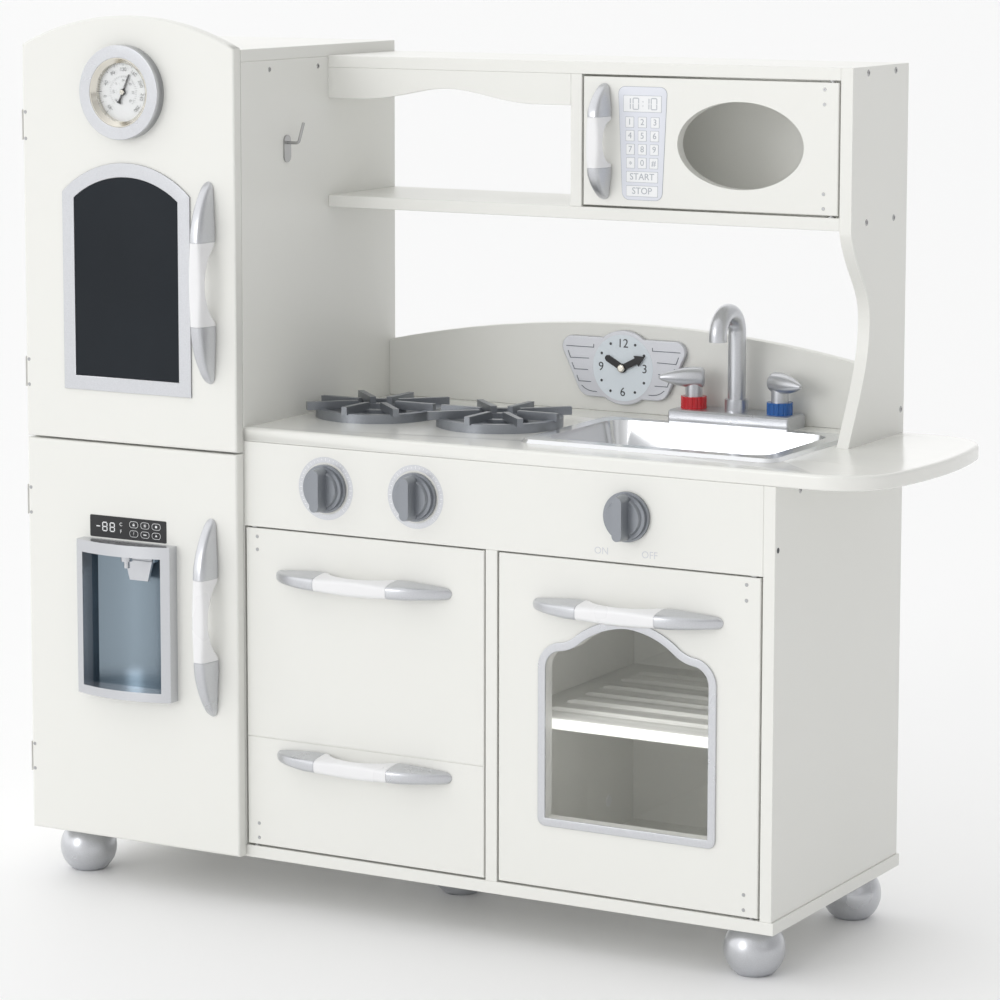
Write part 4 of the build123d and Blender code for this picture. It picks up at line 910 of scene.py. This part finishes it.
class KITCHEN_OT_screws(bpy.types.Operator):
    """Screw heads on the side panels and on the doors"""
    bl_idname = "kitchen.screws"
    bl_label = "Screws"

    def execute(self, context):
        sizes = context.scene.kitchen_fittings
        panel_low, panel_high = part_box("right_side_panel")
        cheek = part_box("upper_right_panel")[1].x
        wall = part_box("fridge_right_side")[1].x
        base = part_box("base_board")[0].z
        deep = panel_low.y
        heads, slots = bmesh.new(), bmesh.new()
        for y, z in ((194, 780), (258, 780), (194, 640), (258, 640), (53, 406), (282, 453)):
            screw(heads, slots, on_right(cheek, deep + y * MM, base + z * MM), sizes.screw_radius)
        for y, z in ((51, 776), (140, 776)):
            screw(heads, slots, on_right(wall, deep + y * MM, base + z * MM), sizes.screw_radius * 0.8)
        # Painted shade: a dark disc where the side panel has a hole.
        hole = on_right(panel_high.x, deep + 6 * MM, base + 357 * MM)
        disc(slots, hole, 2.6 * MM, PRINT, segments=24)
        add_piece("carcase_screws", heads, (bright_steel(),), "carcase")
        add_piece("carcase_screw_slot_shades", slots, (dark_print_and_shade(),), "carcase", 20)
        self.door_screws(sizes, base)
        return {"FINISHED"}

    def door_screws(self, sizes, base):
        rows = {
            "upper_door": ("fridge_upper_door", 3.5, (730.8, 704.3, 482.6, 457.2), "left"),
            "lower_door": ("fridge_lower_door", 3.5, (352.4, 327, 88, 62.6), "left"),
            "cupboard": ("cupboard_door", 13.0, (322.7, 309.9, 35.5, 21), "left"),
            "oven": ("oven_door", 14.2, (323.9, 309.3, 35, 20.7), "right"),
            "microwave": ("microwave_door", 14.6, (765.5, 751.5, 668, 654.3), "right"),
        }
        for body, (node, inset, heights, edge) in rows.items():
            low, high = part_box(node)
            x = low.x + inset * MM if edge == "left" else high.x - inset * MM
            radius = sizes.door_screw_radius
            heads, slots = bmesh.new(), bmesh.new()
            for height in heights:
                # The grey bars in these slots are a painted shade.
                screw(heads, slots, on_front(x, low.y + 0.1 * MM, base + height * MM), radius)
            add_piece(body + "_screws", heads, (bright_steel(),), body)
            add_piece(body + "_screw_slot_shades", slots, (grey_print_and_shade(),), body, 20)


class KITCHEN_OT_inside(bpy.types.Operator):
    """Caps over the fastenings inside the oven"""
    bl_idname = "kitchen.inside"
    bl_label = "Inside fittings"

    def execute(self, context):
        low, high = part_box("centre_divider")
        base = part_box("base_board")[1].z
        bm = bmesh.new()
        for y, z in ((60, 30), (60, 230), (230, 30), (230, 230)):
            spot = on_right(high.x, low.y + y * MM, base + z * MM)
            disc(bm, spot, 6 * MM, 0.8 * MM, 5.2 * MM, 32)
        add_piece("cam_caps", bm, (white_print(),), "carcase")
        return {"FINISHED"}


# ---- stage ------------------------------------------------------------------------------------
KEY_LIGHT = ((-2.4, -7.0, 2.3), (0.0, 0.0, 0.5), 3.0)       # place, target and size in metres
FILL_LIGHT = ((5.0, -2.6, 2.4), (0.1, 0.0, 0.4), 2.6)
GLOW_POWERS = {"oven_door": 0.13, "microwave_door": 0.022}    # watts of the lamps behind the windows
GLOW_GAP = 4 * MM                                             # from the door's back to its lamp
GLOW_SHARE = 0.7                                              # of the door's height
SKY_FADE = (-0.6, 1.0)                                        # where the surroundings start and end to dim
CAMERA_SHIFT = (0.04, -0.12)


class KITCHEN_OT_stage(bpy.types.Operator):
    """Pale floor, soft light and camera"""
    bl_idname = "kitchen.stage"
    bl_label = "Stage"

    def execute(self, context):
        stage = context.scene.kitchen_stage
        bm = bmesh.new()
        bmesh.ops.create_grid(bm, x_segments=1, y_segments=1, size=stage.floor_size / 2)
        mesh = bpy.data.meshes.new("floor")
        bm.to_mesh(mesh)
        bm.free()
        mesh.materials.append(sprayed("floor", (0.93, 0.93, 0.93), 0.55, 0.65, stipple=200, bump=0.0))
        floor = bpy.data.objects.new("floor", mesh)
        context.collection.objects.link(floor)
        self.light("key", *KEY_LIGHT, stage.key_power)
        self.light("fill", *FILL_LIGHT, stage.fill_power)
        for door, power in GLOW_POWERS.items():
            low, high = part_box(door)
            place = ((low.x + high.x) / 2, high.y + GLOW_GAP, (low.z + high.z) / 2)
            inward = (place[0], place[1] + 1, place[2])
            self.light(door + " glow", place, inward, GLOW_SHARE * (high.z - low.z), power)
        world = bpy.data.worlds.new("studio")
        world.use_nodes = True
        nodes, links = world.node_tree.nodes, world.node_tree.links
        nodes["Background"].inputs["Color"].default_value = (1, 1, 1, 1)
        where = nodes.new("ShaderNodeTexCoord")
        parts = nodes.new("ShaderNodeSeparateXYZ")
        fade = nodes.new("ShaderNodeMapRange")
        fade.inputs["From Min"].default_value = SKY_FADE[0]
        fade.inputs["From Max"].default_value = SKY_FADE[1]
        fade.inputs["To Min"].default_value = stage.sky_left
        fade.inputs["To Max"].default_value = stage.sky_right
        links.new(where.outputs["Generated"], parts.inputs["Vector"])
        links.new(parts.outputs["X"], fade.inputs["Value"])
        links.new(fade.outputs["Result"], nodes["Background"].inputs["Strength"])
        context.scene.world = world
        context.scene.view_settings.view_transform = "Standard"
        lens = bpy.data.cameras.new("camera")
        lens.lens = stage.lens
        lens.shift_x, lens.shift_y = CAMERA_SHIFT
        lens.clip_end = 100
        camera = bpy.data.objects.new("camera", lens)
        camera.location = stage.camera_place
        camera.rotation_euler = (math.radians(90) - stage.pitch, 0, stage.azimuth)
        context.collection.objects.link(camera)
        context.scene.camera = camera
        return {"FINISHED"}

    def light(self, name, place, target, size, power):
        lamp = bpy.data.lights.new(name, "AREA")
        lamp.shape = "DISK"
        lamp.size = size
        lamp.energy = power
        holder = bpy.data.objects.new(name, lamp)
        holder.location = place
        holder.rotation_euler = (Vector(target) - Vector(place)).to_track_quat("-Z", "Y").to_euler()
        bpy.context.collection.objects.link(holder)


class KITCHEN_PT_panel(bpy.types.Panel):
    """Shows the kitchen's settings and a button for each of its steps"""
    bl_label = "Toy Kitchen"
    bl_space_type = "VIEW_3D"
    bl_region_type = "UI"
    bl_category = "Toy Kitchen"

    def draw(self, context):
        for group, _ in SETTINGS:
            settings = getattr(context.scene, group)
            box = self.layout.box()
            for name in settings.bl_rna.properties.keys():
                if name not in ("rna_type", "name"):
                    box.prop(settings, name)
        for operator in OPERATORS:
            self.layout.operator(operator.bl_idname)


SETTINGS = (("kitchen_paint", KitchenPaint), ("kitchen_fittings", KitchenFittings),
            ("kitchen_stage", KitchenStage))
OPERATORS = (KITCHEN_OT_finishes, KITCHEN_OT_handles, KITCHEN_OT_thermometer, KITCHEN_OT_clock,
             KITCHEN_OT_knob_dials, KITCHEN_OT_keypad, KITCHEN_OT_display, KITCHEN_OT_screws,
             KITCHEN_OT_inside, KITCHEN_OT_stage)


def register():
    for name, settings in SETTINGS:
        bpy.utils.register_class(settings)
        setattr(bpy.types.Scene, name, PointerProperty(type=settings))
    for operator in OPERATORS:
        bpy.utils.register_class(operator)
    bpy.utils.register_class(KITCHEN_PT_panel)


def unregister():
    bpy.utils.unregister_class(KITCHEN_PT_panel)
    for operator in reversed(OPERATORS):
        bpy.utils.unregister_class(operator)
    for name, settings in reversed(SETTINGS):
        delattr(bpy.types.Scene, name)
        bpy.utils.unregister_class(settings)


def main():
    register()
    for operator in OPERATORS:
        section, name = operator.bl_idname.split(".")
        getattr(getattr(bpy.ops, section), name)()


if __name__ == "__main__":
    main()
